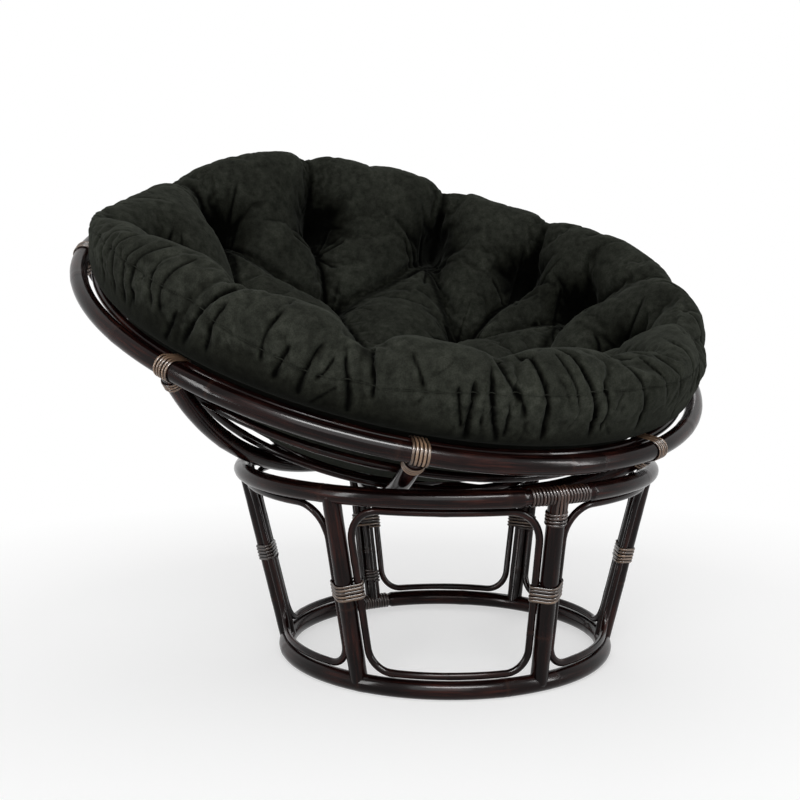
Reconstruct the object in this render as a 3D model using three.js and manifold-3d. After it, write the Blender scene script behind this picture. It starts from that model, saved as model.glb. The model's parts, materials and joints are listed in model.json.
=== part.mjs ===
// Papasan chair: a drum-shaped base of rattan poles, a round bowl of bent ribs that tilts
// on the base's top ring, and a deep tufted cushion that lies in the bowl.
// Millimetres, +Z up. The bowl leans towards -Y. Azimuths run from -Y towards -X.
import * as THREE from 'three';
import { mergeVertices } from 'three/addons/utils/BufferGeometryUtils.js';
import Module from 'manifold-3d';

const wasm = await Module();
wasm.setup();

const turn = 2 * Math.PI;
const degree = Math.PI / 180;

// Poles and rods, as diameters
const rimPole = 29;
const ribPole = 29;
const basePole = 28;
const hubPole = 29;
const innerHoopRod = 15;
const bowlHoopRod = 14;
const bayRod = 12;

// Base: ring diameters run through the middle of the pole
const topRingDiameter = 650;
const bottomRingDiameter = 513;
const topRingHeight = 302.5;
const legCount = 6;
const legStart = 8.3 * degree;
const legFootNudges = [-2.1, -0.9, 0, 0, 0, 0].map((angle) => angle * degree);
const legHeadNudges = [1.6, -0.4, 0, 0, 0, 0].map((angle) => angle * degree);
const topSpliceLegIndex = 0;
const bottomSpliceLegIndex = 3;

// Rods bent into one rounded hoop for each bay between two legs
const bayFootCorner = 34;
const bayHeadCorner = 50;
const bayInset = 5.5;

// Bowl: outside diameter of the rim, and the radius to which its ribs are bent. The bowl leans
// until the rim's middle is the front rest beyond the top ring, measured along a rib.
const bowlDiameter = 1067;
const ribArcRadius = 638;
const hubRingDiameter = 140;
const rimSlot = 4;
const frontRest = 35.27;
const ribCount = 8;
const ribStart = -14.5 * degree;
const ribNudges = [0, 0, -4, 1, 0, 0, 0, 0].map((angle) => angle * degree);
const bowlHoopShares = [0.35, 0.58, 0.81];

// Lashings, as numbers of turns
const rimLashingTurns = 5;
const neckLashingTurns = 3;
const legLashingTurns = 5;
const legBandTurns = 4;
const topSpliceTurns = 18;
const bottomSpliceTurns = 10;

// Fits
const seatGap = 0.3;
const lashingGap = 0.7;
const copeShare = 0.35;
const weld = 0.0005;

// Rattan peel: a strand is flat inside and ridged outside
const strandWidth = 4.4;
const strandThickness = 1.4;
const strandPitch = 5.2;
const spliceRebate = 2.4;
const spliceFade = 4;

// Cushion: sizes in the bowl's frame, heights measured from the plane of the rim. Its side lies
// inside the rim's outer edge by the margin.
const cushionMargin = 12.5;
const cushionCrest = 149;
const cushionSeam = 108;
const cushionSideHeight = 78;
const cushionHem = 27;
const cushionTuck = 14;
const cushionDish = 80;
const outerTuftRadius = 365;
const innerTuftRadius = 235;
const outerTuftDepth = 36;
const innerTuftDepth = 22;
const tuftReach = 36;
const outerCreaseDepth = 40;
const crestCreaseDepth = 46;
const innerCreaseDepth = 32;
const centreCreaseDepth = 18;
const seamCreaseDepth = 7;
const creaseReach = 75;

// Sewn creases of the cushion: azimuths in degrees of the tuft and of the crease's end at the
// edge, and how deep the crease is where it crosses the crest, as a share of the deepest
const creases = [
  { tuft: 22, edge: 17, crestDepthShare: 0.26 },
  { tuft: 44, edge: 41, crestDepthShare: 1 },
  { tuft: 60, edge: 74, crestDepthShare: 0.52 },
  { tuft: 94, edge: 88, crestDepthShare: 0.15 },
  { tuft: 122, edge: 112, crestDepthShare: 0.48 },
  { tuft: 157, edge: 153, crestDepthShare: 0.35 },
  { tuft: 190, edge: 188, crestDepthShare: 0.39 },
  { tuft: 225, edge: 224, crestDepthShare: 0.35 },
  { tuft: 254, edge: 250, crestDepthShare: 0.35 },
  { tuft: 274, edge: 299, crestDepthShare: 0.43 },
  { tuft: 305, edge: 328, crestDepthShare: 0.3 },
  { tuft: 340, edge: 365, crestDepthShare: 0.15 },
];
const innerTuftStart = 11;

// Height of the crest at each of those creases' ends, as shares of the highest. It takes hold
// from the inner tufts outward, in full at a share of the outer tufts' radius.
const crestShares = [0.99, 0.95, 1, 0.99, 0.74, 0.5, 0.95, 0.96, 0.96, 1, 0.96, 1];
const crestFullShare = 1.15;

// Facets
const poleSides = 8;
const rodSides = 6;
const baseRingSteps = 48;
const rimSteps = 64;
const hubSteps = 24;
const bowlHoopSteps = 48;
const ribSteps = 12;
const spliceStations = 8;
const bayCornerSteps = 3;
const baySideSteps = 4;
const spokesPerLobe = 4;
const bundleSteps = 10;

// Sizes that follow from the ones above
const topRingRadius = topRingDiameter / 2;
const bottomRingRadius = bottomRingDiameter / 2;
const bottomRingHeight = basePole / 2;
const rimRadius = (bowlDiameter - rimPole) / 2;
const rimDepth = Math.sqrt(ribArcRadius ** 2 - rimRadius ** 2);
const rimAngle = Math.asin(rimRadius / ribArcRadius);
const hubAngle = Math.asin(hubRingDiameter / 2 / ribArcRadius);
const bayLow = basePole + seatGap + bayRod / 2;
const bayHigh = topRingHeight - basePole / 2 - seatGap - bayRod / 2;
const bayTouch = Math.sqrt(((basePole + bayRod) / 2 + seatGap) ** 2 - bayInset ** 2);
const ribSag = ribArcRadius * (1 - Math.cos((rimAngle - hubAngle) / ribSteps / 2));
const ribInside = ribArcRadius - ribPole / 2 - ribSag - seatGap;
const widestHoop = ribInside * Math.sin(Math.max(...bowlHoopShares) * rimAngle);
const hoopSag = widestHoop * (1 - Math.cos(turn / 2 / bowlHoopSteps));
const seatReach = ribArcRadius + ribPole / 2 + seatGap + basePole / 2;
const bowlCentreHeight = topRingHeight + Math.sqrt(seatReach ** 2 - topRingRadius ** 2);
const ringAngle = Math.asin(topRingRadius / seatReach);
const bowlTilt = rimAngle - ringAngle - frontRest / ribArcRadius;
const seatDirection = Math.atan2(bowlCentreHeight - topRingHeight, -topRingRadius);

// Finishes
const lacquer = new THREE.MeshStandardMaterial({ color: 0x2a1917, roughness: 0.25, metalness: 0 });
const peel = new THREE.MeshStandardMaterial({ color: 0x8a6a4a, roughness: 0.6, metalness: 0 });
const suede = new THREE.MeshStandardMaterial({ color: 0x1e201d, roughness: 0.95, metalness: 0 });

const around = (radius, azimuth, height) =>
  new THREE.Vector3(-radius * Math.sin(azimuth), -radius * Math.cos(azimuth), height);
const outwards = (azimuth) => around(1, azimuth, 0);
const alongRing = (azimuth) => new THREE.Vector3(-Math.cos(azimuth), Math.sin(azimuth), 0);
const up = new THREE.Vector3(0, 0, 1);
const ribAzimuth = (index) => ribStart + turn * index / ribCount + ribNudges[index];
const legPlace = (index) => legStart + turn * index / legCount;
const legFootAzimuth = (index) => legPlace(index) + legFootNudges[index % legCount];
const legHeadAzimuth = (index) => legPlace(index) + legHeadNudges[index % legCount];

// Volume enclosed by a mesh, negative where its faces point in
function enclosedVolume(geometry) {
  const points = geometry.getAttribute('position');
  const index = geometry.index;
  const a = new THREE.Vector3();
  const b = new THREE.Vector3();
  const c = new THREE.Vector3();
  let sum = 0;
  for (let i = 0; i < index.count; i += 3) {
    a.fromBufferAttribute(points, index.getX(i));
    b.fromBufferAttribute(points, index.getX(i + 1));
    c.fromBufferAttribute(points, index.getX(i + 2));
    sum += a.dot(b.cross(c)) / 6;
  }
  return sum;
}

// Welds a mesh into one closed body whose faces point out
function closedBody(geometry) {
  const bare = new THREE.BufferGeometry();
  bare.setAttribute('position', geometry.getAttribute('position'));
  bare.setIndex(geometry.index);
  const merged = mergeVertices(bare, weld);
  if (enclosedVolume(merged) < 0) {
    const index = merged.index;
    for (let i = 0; i < index.count; i += 3) {
      const first = index.getX(i);
      index.setX(i, index.getX(i + 1));
      index.setX(i + 1, first);
    }
  }
  merged.computeVertexNormals();
  return merged;
}

function solidOf(geometry) {
  const body = closedBody(geometry);
  const vertProperties = new Float32Array(body.getAttribute('position').array);
  const triVerts = new Uint32Array(body.index.array);
  return new wasm.Manifold(new wasm.Mesh({ numProp: 3, vertProperties, triVerts }));
}

function cutBy(geometry, cutters) {
  let solid = solidOf(geometry);
  for (const cutter of cutters) solid = solid.subtract(solidOf(cutter));
  const mesh = solid.getMesh();
  const result = new THREE.BufferGeometry();
  result.setAttribute('position', new THREE.BufferAttribute(mesh.vertProperties, 3));
  result.setIndex(new THREE.BufferAttribute(mesh.triVerts, 1));
  return closedBody(result);
}

// Corners of a regular section, one of them in the facing direction
function section(radius, sides, facing) {
  const corner = (i) => facing + turn * i / sides;
  return Array.from({ length: sides }, (_, i) =>
    new THREE.Vector2(radius * Math.cos(corner(i)), radius * Math.sin(corner(i))));
}

// Joins loops of points that have the same count, closed on itself or with flat ends
function loft(loops, closed) {
  const size = loops[0].length;
  const indices = [];
  const spans = closed ? loops.length : loops.length - 1;
  for (let i = 0; i < spans; i++) {
    const here = i * size;
    const next = (i + 1) % loops.length * size;
    for (let j = 0; j < size; j++) {
      const k = (j + 1) % size;
      indices.push(here + j, here + k, next + k);
      indices.push(here + j, next + k, next + j);
    }
  }
  const last = (loops.length - 1) * size;
  for (let j = 1; !closed && j < size - 1; j++) {
    indices.push(0, j + 1, j);
    indices.push(last, last + j, last + j + 1);
  }
  const geometry = new THREE.BufferGeometry().setFromPoints(loops.flat());
  geometry.setIndex(indices);
  return closedBody(geometry);
}

// A plain hoop about the Z axis
function hoop({ radius, height, pole, sides, facing, steps, start }) {
  const profile = section(pole / 2, sides, facing).map((p) => new THREE.Vector2(radius + p.x, height + p.y));
  profile.push(profile[0].clone());
  const geometry = new THREE.LatheGeometry(profile, steps, -start, turn);
  geometry.rotateX(turn / 4);
  return closedBody(geometry);
}

// A base ring, cut back where the binding of its splice lies
function splicedRing({ radius, height, sectionRadius, facing, splice }) {
  const half = (splice.turns * strandPitch / 2 + strandWidth) / radius;
  const fade = spliceFade / radius;
  const stations = [];
  for (let i = 0; i < baseRingSteps; i++) {
    const azimuth = legStart + turn * i / baseRingSteps;
    const apart = azimuth - splice.azimuth;
    const away = Math.abs(Math.atan2(Math.sin(apart), Math.cos(apart)));
    if (away > half + fade) stations.push({ azimuth, depth: 0 });
  }
  for (let i = 0; i <= spliceStations; i++) {
    const azimuth = splice.azimuth + half * (2 * i / spliceStations - 1);
    stations.push({ azimuth, depth: spliceRebate });
  }
  stations.push({ azimuth: splice.azimuth - half - fade, depth: 0 });
  stations.push({ azimuth: splice.azimuth + half + fade, depth: 0 });
  const full = (azimuth) => ((azimuth - legStart) % turn + turn) % turn;
  stations.sort((a, b) => full(a.azimuth) - full(b.azimuth));
  const loops = stations.map(({ azimuth, depth }) => {
    const corners = section(sectionRadius - depth, poleSides, facing);
    return corners.map((p) => around(radius + p.x, azimuth, height + p.y));
  });
  return loft(loops, true);
}

// The top ring turns a corner of its section to the bowl's ribs, which slide on it
const topRing = {
  radius: topRingRadius / Math.cos(turn / 2 / baseRingSteps),
  height: topRingHeight,
  sectionRadius: basePole / 2,
  facing: seatDirection,
  splice: { azimuth: legHeadAzimuth(topSpliceLegIndex), turns: topSpliceTurns },
};

// The bottom ring is worn flat underneath, where it stands on the floor
const bottomRing = {
  radius: bottomRingRadius,
  height: bottomRingHeight,
  sectionRadius: basePole / 2 / Math.cos(turn / 2 / poleSides),
  facing: turn / 2 / poleSides,
  splice: { azimuth: legFootAzimuth(bottomSpliceLegIndex), turns: bottomSpliceTurns },
};

// The room that a leg's coped end leaves round a base ring
function ringClearance({ radius, height, sectionRadius, facing }) {
  const pole = 2 * (sectionRadius + seatGap);
  return hoop({ radius, height, pole, sides: poleSides, facing, steps: baseRingSteps, start: legStart });
}

const legLean = Math.atan2(topRing.radius - bottomRing.radius, topRing.height - bottomRing.height);
const legRadiusAt = (height) => bottomRing.radius + (height - bottomRing.height) * Math.tan(legLean);

// A leg's place at a height: its middle, the two directions across it and the direction along it.
// A leg stands a little askew where its foot and head are nudged apart.
function legFrame(index, height) {
  const foot = around(bottomRing.radius, legFootAzimuth(index), bottomRing.height);
  const head = around(topRing.radius, legHeadAzimuth(index), topRing.height);
  const along = head.clone().sub(foot).normalize();
  const middle = foot.clone().addScaledVector(along, (height - foot.z) / along.z);
  const out = middle.clone().setZ(0).normalize();
  const over = out.addScaledVector(along, -out.dot(along)).normalize();
  return { middle, across: over.clone().cross(along), over, along };
}

// A leg is a straight pole, coped at both ends to the two rings
function leg(index, cutters) {
  const trim = copeShare * basePole / 2;
  const loops = [bottomRing.height + trim, topRing.height - trim].map((height) => {
    const { middle, across, over } = legFrame(index, height);
    return section(basePole / 2, poleSides, 0).map((p) =>
      middle.clone().addScaledVector(across, p.x).addScaledVector(over, p.y));
  });
  return cutBy(loft(loops, false), cutters);
}

// Half of a bay hoop's outline, beside one leg, from the middle of its foot to the middle of its
// head: arc length from the bay's middle, and height
function bayOutline(bayAzimuth, legIndex) {
  const toBay = outwards(bayAzimuth);
  const half = (z) => {
    const apart = legFrame(legIndex, z).middle.setZ(0).angleTo(toBay);
    return (legRadiusAt(z) - bayInset) * apart - bayTouch;
  };
  const points = [];
  const place = (x, z) => points.push({ x, z });
  const bend = (corner, end, angle) => {
    const z = end + Math.sign(bayHigh + bayLow - 2 * end) * corner * (1 - Math.sin(angle));
    place(half(z) - corner * (1 - Math.cos(angle)), z);
  };
  const angles = Array.from({ length: bayCornerSteps + 1 }, (_, i) => turn / 4 * i / bayCornerSteps);
  place(0, bayLow);
  place((half(bayLow) - bayFootCorner) / 2, bayLow);
  for (const angle of [...angles].reverse()) bend(bayFootCorner, bayLow, angle);
  const sideFoot = bayLow + bayFootCorner;
  const sideHead = bayHigh - bayHeadCorner;
  for (let i = 1; i < baySideSteps; i++) {
    const z = THREE.MathUtils.lerp(sideFoot, sideHead, i / baySideSteps);
    place(half(z), z);
  }
  for (const angle of angles) bend(bayHeadCorner, bayHigh, angle);
  place((half(bayHigh) - bayHeadCorner) / 2, bayHigh);
  place(0, bayHigh);
  return points;
}

function bayHoop(index) {
  const azimuth = legPlace(index + 0.5);
  const right = bayOutline(azimuth, index + 1);
  const left = bayOutline(azimuth, index).slice(1, -1).reverse().map(({ x, z }) => ({ x: -x, z }));
  const path = [...right, ...left].map(({ x, z }) => {
    const radius = legRadiusAt(z) - bayInset;
    return { point: around(radius, azimuth + x / radius, z), azimuth: azimuth + x / radius };
  });
  const loops = path.map(({ point, azimuth: place }, i) => {
    const next = path[(i + 1) % path.length].point;
    const previous = path[(i + path.length - 1) % path.length].point;
    const tangent = next.clone().sub(previous).normalize();
    const out = outwards(place);
    out.addScaledVector(tangent, -out.dot(tangent)).normalize();
    const side = tangent.clone().cross(out);
    return section(bayRod / 2, rodSides, turn / 4).map((p) =>
      point.clone().addScaledVector(out, p.x).addScaledVector(side, p.y));
  });
  return loft(loops, true);
}

// A point on a tight loop round a bundle of round poles, in the direction of an angle
function bundlePoint(poles, angle, steps) {
  const direction = new THREE.Vector2(Math.cos(angle), Math.sin(angle));
  const slack = 1 / Math.cos(turn / 2 / steps);
  let best = null;
  for (const { x, y, radius } of poles) {
    const reach = (radius + lashingGap) * slack;
    const support = x * direction.x + y * direction.y + reach;
    if (best === null || support > best.support) {
      best = { support, x: x + reach * direction.x, y: y + reach * direction.y };
    }
  }
  return { x: best.x, y: best.y, out: direction };
}

const leastGaps = [];

// Least distance between a strand and its own next turns, on the corners of its sections
function leastGapToItself(loops, steps) {
  let least = Infinity;
  for (let i = 0; i < loops.length; i++) {
    for (let j = i + steps - 1; j < Math.min(loops.length, i + steps + 2); j++) {
      for (const a of loops[i]) {
        for (const b of loops[j]) least = Math.min(least, a.distanceTo(b));
      }
    }
  }
  return least;
}

// One unbroken strand wound in a helix. frameAt(travel) gives the place of the bundle there:
// its middle, the two directions across it and the direction along it.
function winding({ turns, steps, loopAt, frameAt }) {
  const loops = [];
  for (let i = 0; i <= turns * steps; i++) {
    const travel = (i / steps - turns / 2) * strandPitch;
    const { middle, across, over, along } = frameAt(travel);
    const { x, y, out } = loopAt(turn * i / steps - turn / 4, steps);
    const base = middle.clone().addScaledVector(across, x).addScaledVector(over, y);
    const lift = across.clone().multiplyScalar(out.x).addScaledVector(over, out.y);
    loops.push([
      base.clone().addScaledVector(along, -strandWidth / 2),
      base.clone().addScaledVector(along, strandWidth / 2),
      base.clone().addScaledVector(lift, strandThickness),
    ]);
  }
  leastGaps.push(leastGapToItself(loops, steps));
  return loft(loops, false);
}

// A loop whose corners lie over those of a pole's own section
const evenLoop = (reach, facing) => (angle) => {
  const corner = angle + turn / 4 + facing;
  const out = new THREE.Vector2(Math.cos(corner), Math.sin(corner));
  return { x: reach * out.x, y: reach * out.y, out };
};

// A leg and the two hoops beside it, as a bundle seen along the leg
function legBundle(index, height) {
  const { middle, across, over } = legFrame(index, height);
  const azimuth = Math.atan2(-middle.x, -middle.y);
  const wall = legRadiusAt(height) - bayInset;
  const rods = [-1, 1].map((side) => {
    const rod = around(wall, azimuth + side * bayTouch / wall, height).sub(middle);
    return { x: rod.dot(across), y: rod.dot(over), radius: bayRod / 2 };
  });
  return [{ x: 0, y: 0, radius: basePole / 2 }, ...rods];
}

function legLashing(index) {
  const height = (bayLow + bayHigh) / 2;
  const poles = legBundle(index, height);
  return winding({
    turns: legLashingTurns,
    steps: bundleSteps,
    loopAt: (angle, steps) => bundlePoint(poles, angle, steps),
    frameAt: (travel) => legFrame(index, height + travel * Math.cos(legLean)),
  });
}

// A short band round one leg, close under the top ring or over the bottom ring
function legBand(index, height) {
  return winding({
    turns: legBandTurns,
    steps: poleSides,
    loopAt: evenLoop(basePole / 2 + seatGap, 0),
    frameAt: (travel) => legFrame(index, height + travel * Math.cos(legLean)),
  });
}

// The binding of a ring's splice, sunk in the ring's cut-back stretch
function ringLashing({ radius, height, sectionRadius, facing, splice }) {
  return winding({
    turns: splice.turns,
    steps: poleSides,
    loopAt: evenLoop(sectionRadius - spliceRebate + seatGap, facing),
    frameAt: (travel) => {
      const azimuth = splice.azimuth + travel / radius;
      const middle = around(radius, azimuth, height);
      return { middle, across: outwards(azimuth), over: up, along: alongRing(azimuth) };
    },
  });
}

// Place on the bowl: angle from the bowl's pole, distance from the centre of its ribs' arcs
const onBowl = (angle, distance) => ({
  radius: distance * Math.sin(angle), height: -distance * Math.cos(angle) });

const rim = { ...onBowl(rimAngle, ribArcRadius), pole: rimPole };
const innerReach = ribInside - innerHoopRod / 2;
const innerSpacing = (rimPole + innerHoopRod) / 2 + rimSlot;
const innerTurn = Math.acos(
  (ribArcRadius ** 2 + innerReach ** 2 - innerSpacing ** 2) / (2 * ribArcRadius * innerReach));
const innerRim = { ...onBowl(rimAngle - innerTurn, innerReach), pole: innerHoopRod };
const hub = { ...onBowl(hubAngle, ribArcRadius), pole: hubPole };

const rimHoop = () => hoop({ ...rim, sides: poleSides, facing: 0, steps: rimSteps, start: ribStart });
const hubRing = (grow) => hoop({
  ...hub, pole: hub.pole + 2 * grow, sides: poleSides, facing: 0, steps: hubSteps, start: ribStart });
const innerRimHoop = () => hoop({
  ...innerRim, sides: rodSides, facing: rimAngle - turn / 4, steps: rimSteps, start: ribStart });

// The two hoops of the rim, as the bundle that their lashings go round
const rimBundle = [
  { x: 0, y: 0, radius: rimPole / 2 },
  { x: innerRim.radius - rim.radius, y: innerRim.height - rim.height, radius: innerHoopRod / 2 },
];

// The room that a rib's end leaves round the rim's two hoops and their lashing
function rimClearance() {
  const steps = 2 * poleSides;
  const spread = strandThickness + seatGap;
  const profile = [];
  for (let i = 0; i <= steps; i++) {
    const { x, y, out } = bundlePoint(rimBundle, turn * (i % steps) / steps, bundleSteps);
    profile.push(new THREE.Vector2(rim.radius + x + spread * out.x, rim.height + y + spread * out.y));
  }
  const geometry = new THREE.LatheGeometry(profile, rimSteps, -ribStart, turn);
  geometry.rotateX(turn / 4);
  return closedBody(geometry);
}

function bowlHoop(share) {
  const angle = share * rimAngle;
  const place = onBowl(angle, ribInside - bowlHoopRod / 2);
  const facing = angle - turn / 4;
  return hoop({ ...place, pole: bowlHoopRod, sides: rodSides, facing, steps: bowlHoopSteps, start: 0 });
}

class RibArc extends THREE.Curve {
  getPoint(share, target = new THREE.Vector3()) {
    const trim = copeShare * ribPole / 2 / ribArcRadius;
    const angle = THREE.MathUtils.lerp(hubAngle + trim, rimAngle - trim, share);
    const { radius, height } = onBowl(angle, ribArcRadius);
    return target.set(radius, 0, height);
  }
}

// A rib is bent to one arc and coped at both ends to the hub ring and the rim
function rib(azimuth, cutters) {
  const shape = new THREE.Shape(section(ribPole / 2, poleSides, 0));
  const bent = new THREE.ExtrudeGeometry(shape, {
    steps: ribSteps, extrudePath: new RibArc(), bevelEnabled: false, curveSegments: 1 });
  bent.rotateZ(-turn / 4 - azimuth);
  return cutBy(bent, cutters);
}

function rimLashing(azimuth) {
  return winding({
    turns: rimLashingTurns,
    steps: bundleSteps,
    loopAt: (angle, steps) => bundlePoint(rimBundle, angle, steps),
    frameAt: (travel) => {
      const place = azimuth + travel / rim.radius;
      const middle = around(rim.radius, place, rim.height);
      return { middle, across: outwards(place), over: up, along: alongRing(place) };
    },
  });
}

// The lashing round a rib's neck, close under the rim and its lashing
function neckLashing(azimuth) {
  const half = neckLashingTurns * strandPitch / 2;
  const clear = rimPole / 2 + 2 * (lashingGap + strandThickness) + half + strandWidth;
  return winding({
    turns: neckLashingTurns,
    steps: poleSides,
    loopAt: evenLoop(ribPole / 2 + ribSag + seatGap, 0),
    frameAt: (travel) => {
      const angle = rimAngle - (clear - travel) / ribArcRadius;
      const { radius, height } = onBowl(angle, ribArcRadius);
      const middle = around(radius, azimuth, height);
      const over = middle.clone().normalize();
      const across = alongRing(azimuth);
      return { middle, across, over, along: over.clone().cross(across) };
    },
  });
}

// The cushion's upper side over a lobe's middle: shares of the cushion's radius and of its crest
const crownShares = [
  [0.13, -0.53], [0.29, -0.49], [0.45, -0.35], [0.56, -0.14], [0.635, 0.12], [0.7, 0.34],
  [0.765, 0.65], [0.82, 0.88], [0.87, 0.98], [0.92, 1], [0.965, 0.9],
];

// Its side from the seam down to the hem, as shares of that radius
const sideRadiusShares = [0.99, 1, 0.995, 0.965];

const cushionRadius = bowlDiameter / 2 - cushionMargin;
const lobeCount = creases.length;
const flatPoint = (radius, azimuth) =>
  new THREE.Vector2(-radius * Math.sin(azimuth), -radius * Math.cos(azimuth));
const innerTuftAzimuth = (index) => (innerTuftStart * degree) + turn * index * 2 / lobeCount;
const outerTufts = creases.map(({ tuft }) => flatPoint(outerTuftRadius, tuft * degree));
const innerTufts = outerTufts.filter((_, i) => i % 2 === 0)
  .map((_, i) => flatPoint(innerTuftRadius, innerTuftAzimuth(i)));
const pastTufts = (radius) => (radius - outerTuftRadius) / (cushionRadius - outerTuftRadius);

// The sewn creases as lines in the plane of the rim, with their depth at a radius
function creaseLines() {
  const lines = creases.map(({ edge, crestDepthShare }, i) => {
    const crest = crestDepthShare * crestCreaseDepth;
    const depths = [outerCreaseDepth, (outerCreaseDepth + crest) / 2, crest, seamCreaseDepth];
    return {
      from: outerTufts[i],
      to: flatPoint(cushionRadius, edge * degree),
      depthAt: (radius) => {
        const share = THREE.MathUtils.clamp(pastTufts(radius), 0, 1) * (depths.length - 1);
        const step = Math.min(Math.floor(share), depths.length - 2);
        return THREE.MathUtils.lerp(depths[step], depths[step + 1], share - step);
      },
    };
  });
  innerTufts.forEach((from, i) => {
    for (const side of [-1, 0, 1]) {
      const to = outerTufts[(2 * i + side + lobeCount) % lobeCount];
      lines.push({ from, to, depthAt: () => innerCreaseDepth });
    }
    lines.push({ from, to: new THREE.Vector2(), depthAt: () => centreCreaseDepth });
  });
  return lines;
}

function distanceToLine(point, from, to) {
  const along = to.clone().sub(from);
  const share = THREE.MathUtils.clamp(point.clone().sub(from).dot(along) / along.lengthSq(), 0, 1);
  return point.distanceTo(from.clone().addScaledVector(along, share));
}

// How far the tufts and the creases between them pull the upper side down
function tuftPull(lines, point) {
  const round = (away) => Math.max(0, 1 - away / creaseReach) ** 2;
  const pit = (tufts, depth) => tufts.reduce(
    (sum, tuft) => sum + depth * Math.exp(-((point.distanceTo(tuft) / tuftReach) ** 2)), 0);
  const radius = point.length();
  const pulls = lines.map(
    ({ from, to, depthAt }) => depthAt(radius) * round(distanceToLine(point, from, to)));
  const middle = [...innerTufts, new THREE.Vector2()];
  return Math.max(...pulls) + pit(outerTufts, outerTuftDepth) + pit(middle, innerTuftDepth);
}

// Azimuth of a spoke of the cushion's mesh at a radius: the first one of each lobe follows a
// crease, and the others share out the lobe
function spokeAzimuth(spoke, radius) {
  const lobe = Math.floor(spoke / spokesPerLobe);
  const between = (end) => {
    const start = creases[lobe][end] * degree;
    const rounded = lobe + 1 < lobeCount ? 0 : turn;
    const next = creases[(lobe + 1) % lobeCount][end] * degree + rounded;
    return THREE.MathUtils.lerp(start, next, spoke / spokesPerLobe - lobe);
  };
  if (radius < outerTuftRadius) {
    const inner = innerTuftStart * degree + turn * spoke / spokesPerLobe / lobeCount;
    const inward = (radius - innerTuftRadius) / (outerTuftRadius - innerTuftRadius);
    return THREE.MathUtils.lerp(inner, between('tuft'), Math.max(0, inward));
  }
  return THREE.MathUtils.lerp(between('tuft'), between('edge'), pastTufts(radius));
}

// The crest is lower where the cushion's back corner is pressed flat
function crestShare(spoke) {
  const lobe = Math.floor(spoke / spokesPerLobe);
  const next = crestShares[(lobe + 1) % lobeCount];
  return THREE.MathUtils.lerp(crestShares[lobe], next, spoke / spokesPerLobe - lobe);
}

// The two triangles of a mesh's field that keep closest to its surface
function splitByShorterDiagonal(points, [a, b, c, d]) {
  if (points[a].distanceTo(points[c]) <= points[b].distanceTo(points[d])) {
    return [a, b, c, a, c, d];
  }
  return [a, b, d, b, c, d];
}

// The cushion: crowned and tufted above, drawn in at each crease along its side, tucked in
// over the rim and round below, where it lies on the bowl's hoops
function cushion() {
  const lines = creaseLines();
  const spokes = lobeCount * spokesPerLobe;
  const raised = (radius, height, spoke) => {
    const full = crestFullShare * outerTuftRadius;
    const outward = THREE.MathUtils.smoothstep(radius, innerTuftRadius, full);
    const above = Math.max(0, height - cushionHem);
    return height - above * (1 - crestShare(spoke)) * outward;
  };
  const rows = crownShares.map(([radiusShare, heightShare]) => (spoke) => {
    const radius = radiusShare * cushionRadius;
    const point = flatPoint(radius, spokeAzimuth(spoke, radius));
    const height = raised(radius, heightShare * cushionCrest, spoke) - tuftPull(lines, point);
    return { radius, height };
  });
  const side = (radiusShare, height) => (spoke) => {
    const radius = radiusShare * cushionRadius;
    const point = flatPoint(radius, spokeAzimuth(spoke, radius));
    const drawn = tuftPull(lines, point) * Math.min(1, (height - cushionTuck) / cushionSeam);
    return { radius: radius - drawn, height: raised(radius, height, spoke) };
  };
  const halfway = (cushionSideHeight + cushionHem) / 2;
  const sideHeights = [cushionSeam, cushionSideHeight, halfway, cushionHem];
  rows.push(...sideHeights.map((height, i) => side(sideRadiusShares[i], height)));
  const tuckRadius = innerRim.radius - innerHoopRod / 2 - strandThickness - 3 * lashingGap;
  rows.push(() => ({ radius: tuckRadius, height: cushionTuck }));
  const underside = ribInside - bowlHoopRod - hoopSag - seatGap;
  const belowRim = Math.asin((tuckRadius - lashingGap) / underside);
  const onHoops = bowlHoopShares.map((share) => share * rimAngle).reverse();
  for (const angle of [belowRim, ...onHoops]) {
    const place = onBowl(angle, underside);
    rows.push(() => ({ radius: place.radius, height: place.height + rimDepth }));
  }
  const loops = rows.map((row) => Array.from({ length: spokes }, (_, spoke) => {
    const { radius, height } = row(spoke);
    return around(radius, spokeAzimuth(spoke, Math.min(radius, cushionRadius)), height - rimDepth);
  }));
  const points = loops.flat();
  const top = points.length;
  points.push(new THREE.Vector3(0, 0, -cushionDish - innerTuftDepth - rimDepth));
  points.push(new THREE.Vector3(0, 0, -underside));
  const indices = [];
  for (let j = 0; j < spokes; j++) {
    const k = (j + 1) % spokes;
    const last = (loops.length - 1) * spokes;
    indices.push(top, k, j);
    indices.push(top + 1, last + j, last + k);
    for (let i = 0; i + 1 < loops.length; i++) {
      const corners = [i * spokes + j, i * spokes + k, (i + 1) * spokes + k, (i + 1) * spokes + j];
      indices.push(...splitByShorterDiagonal(points, corners));
    }
  }
  const geometry = new THREE.BufferGeometry().setFromPoints(points);
  geometry.setIndex(indices);
  return closedBody(geometry);
}

function piece(name, geometry, material) {
  const mesh = new THREE.Mesh(geometry, material);
  mesh.name = name;
  return mesh;
}

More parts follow.
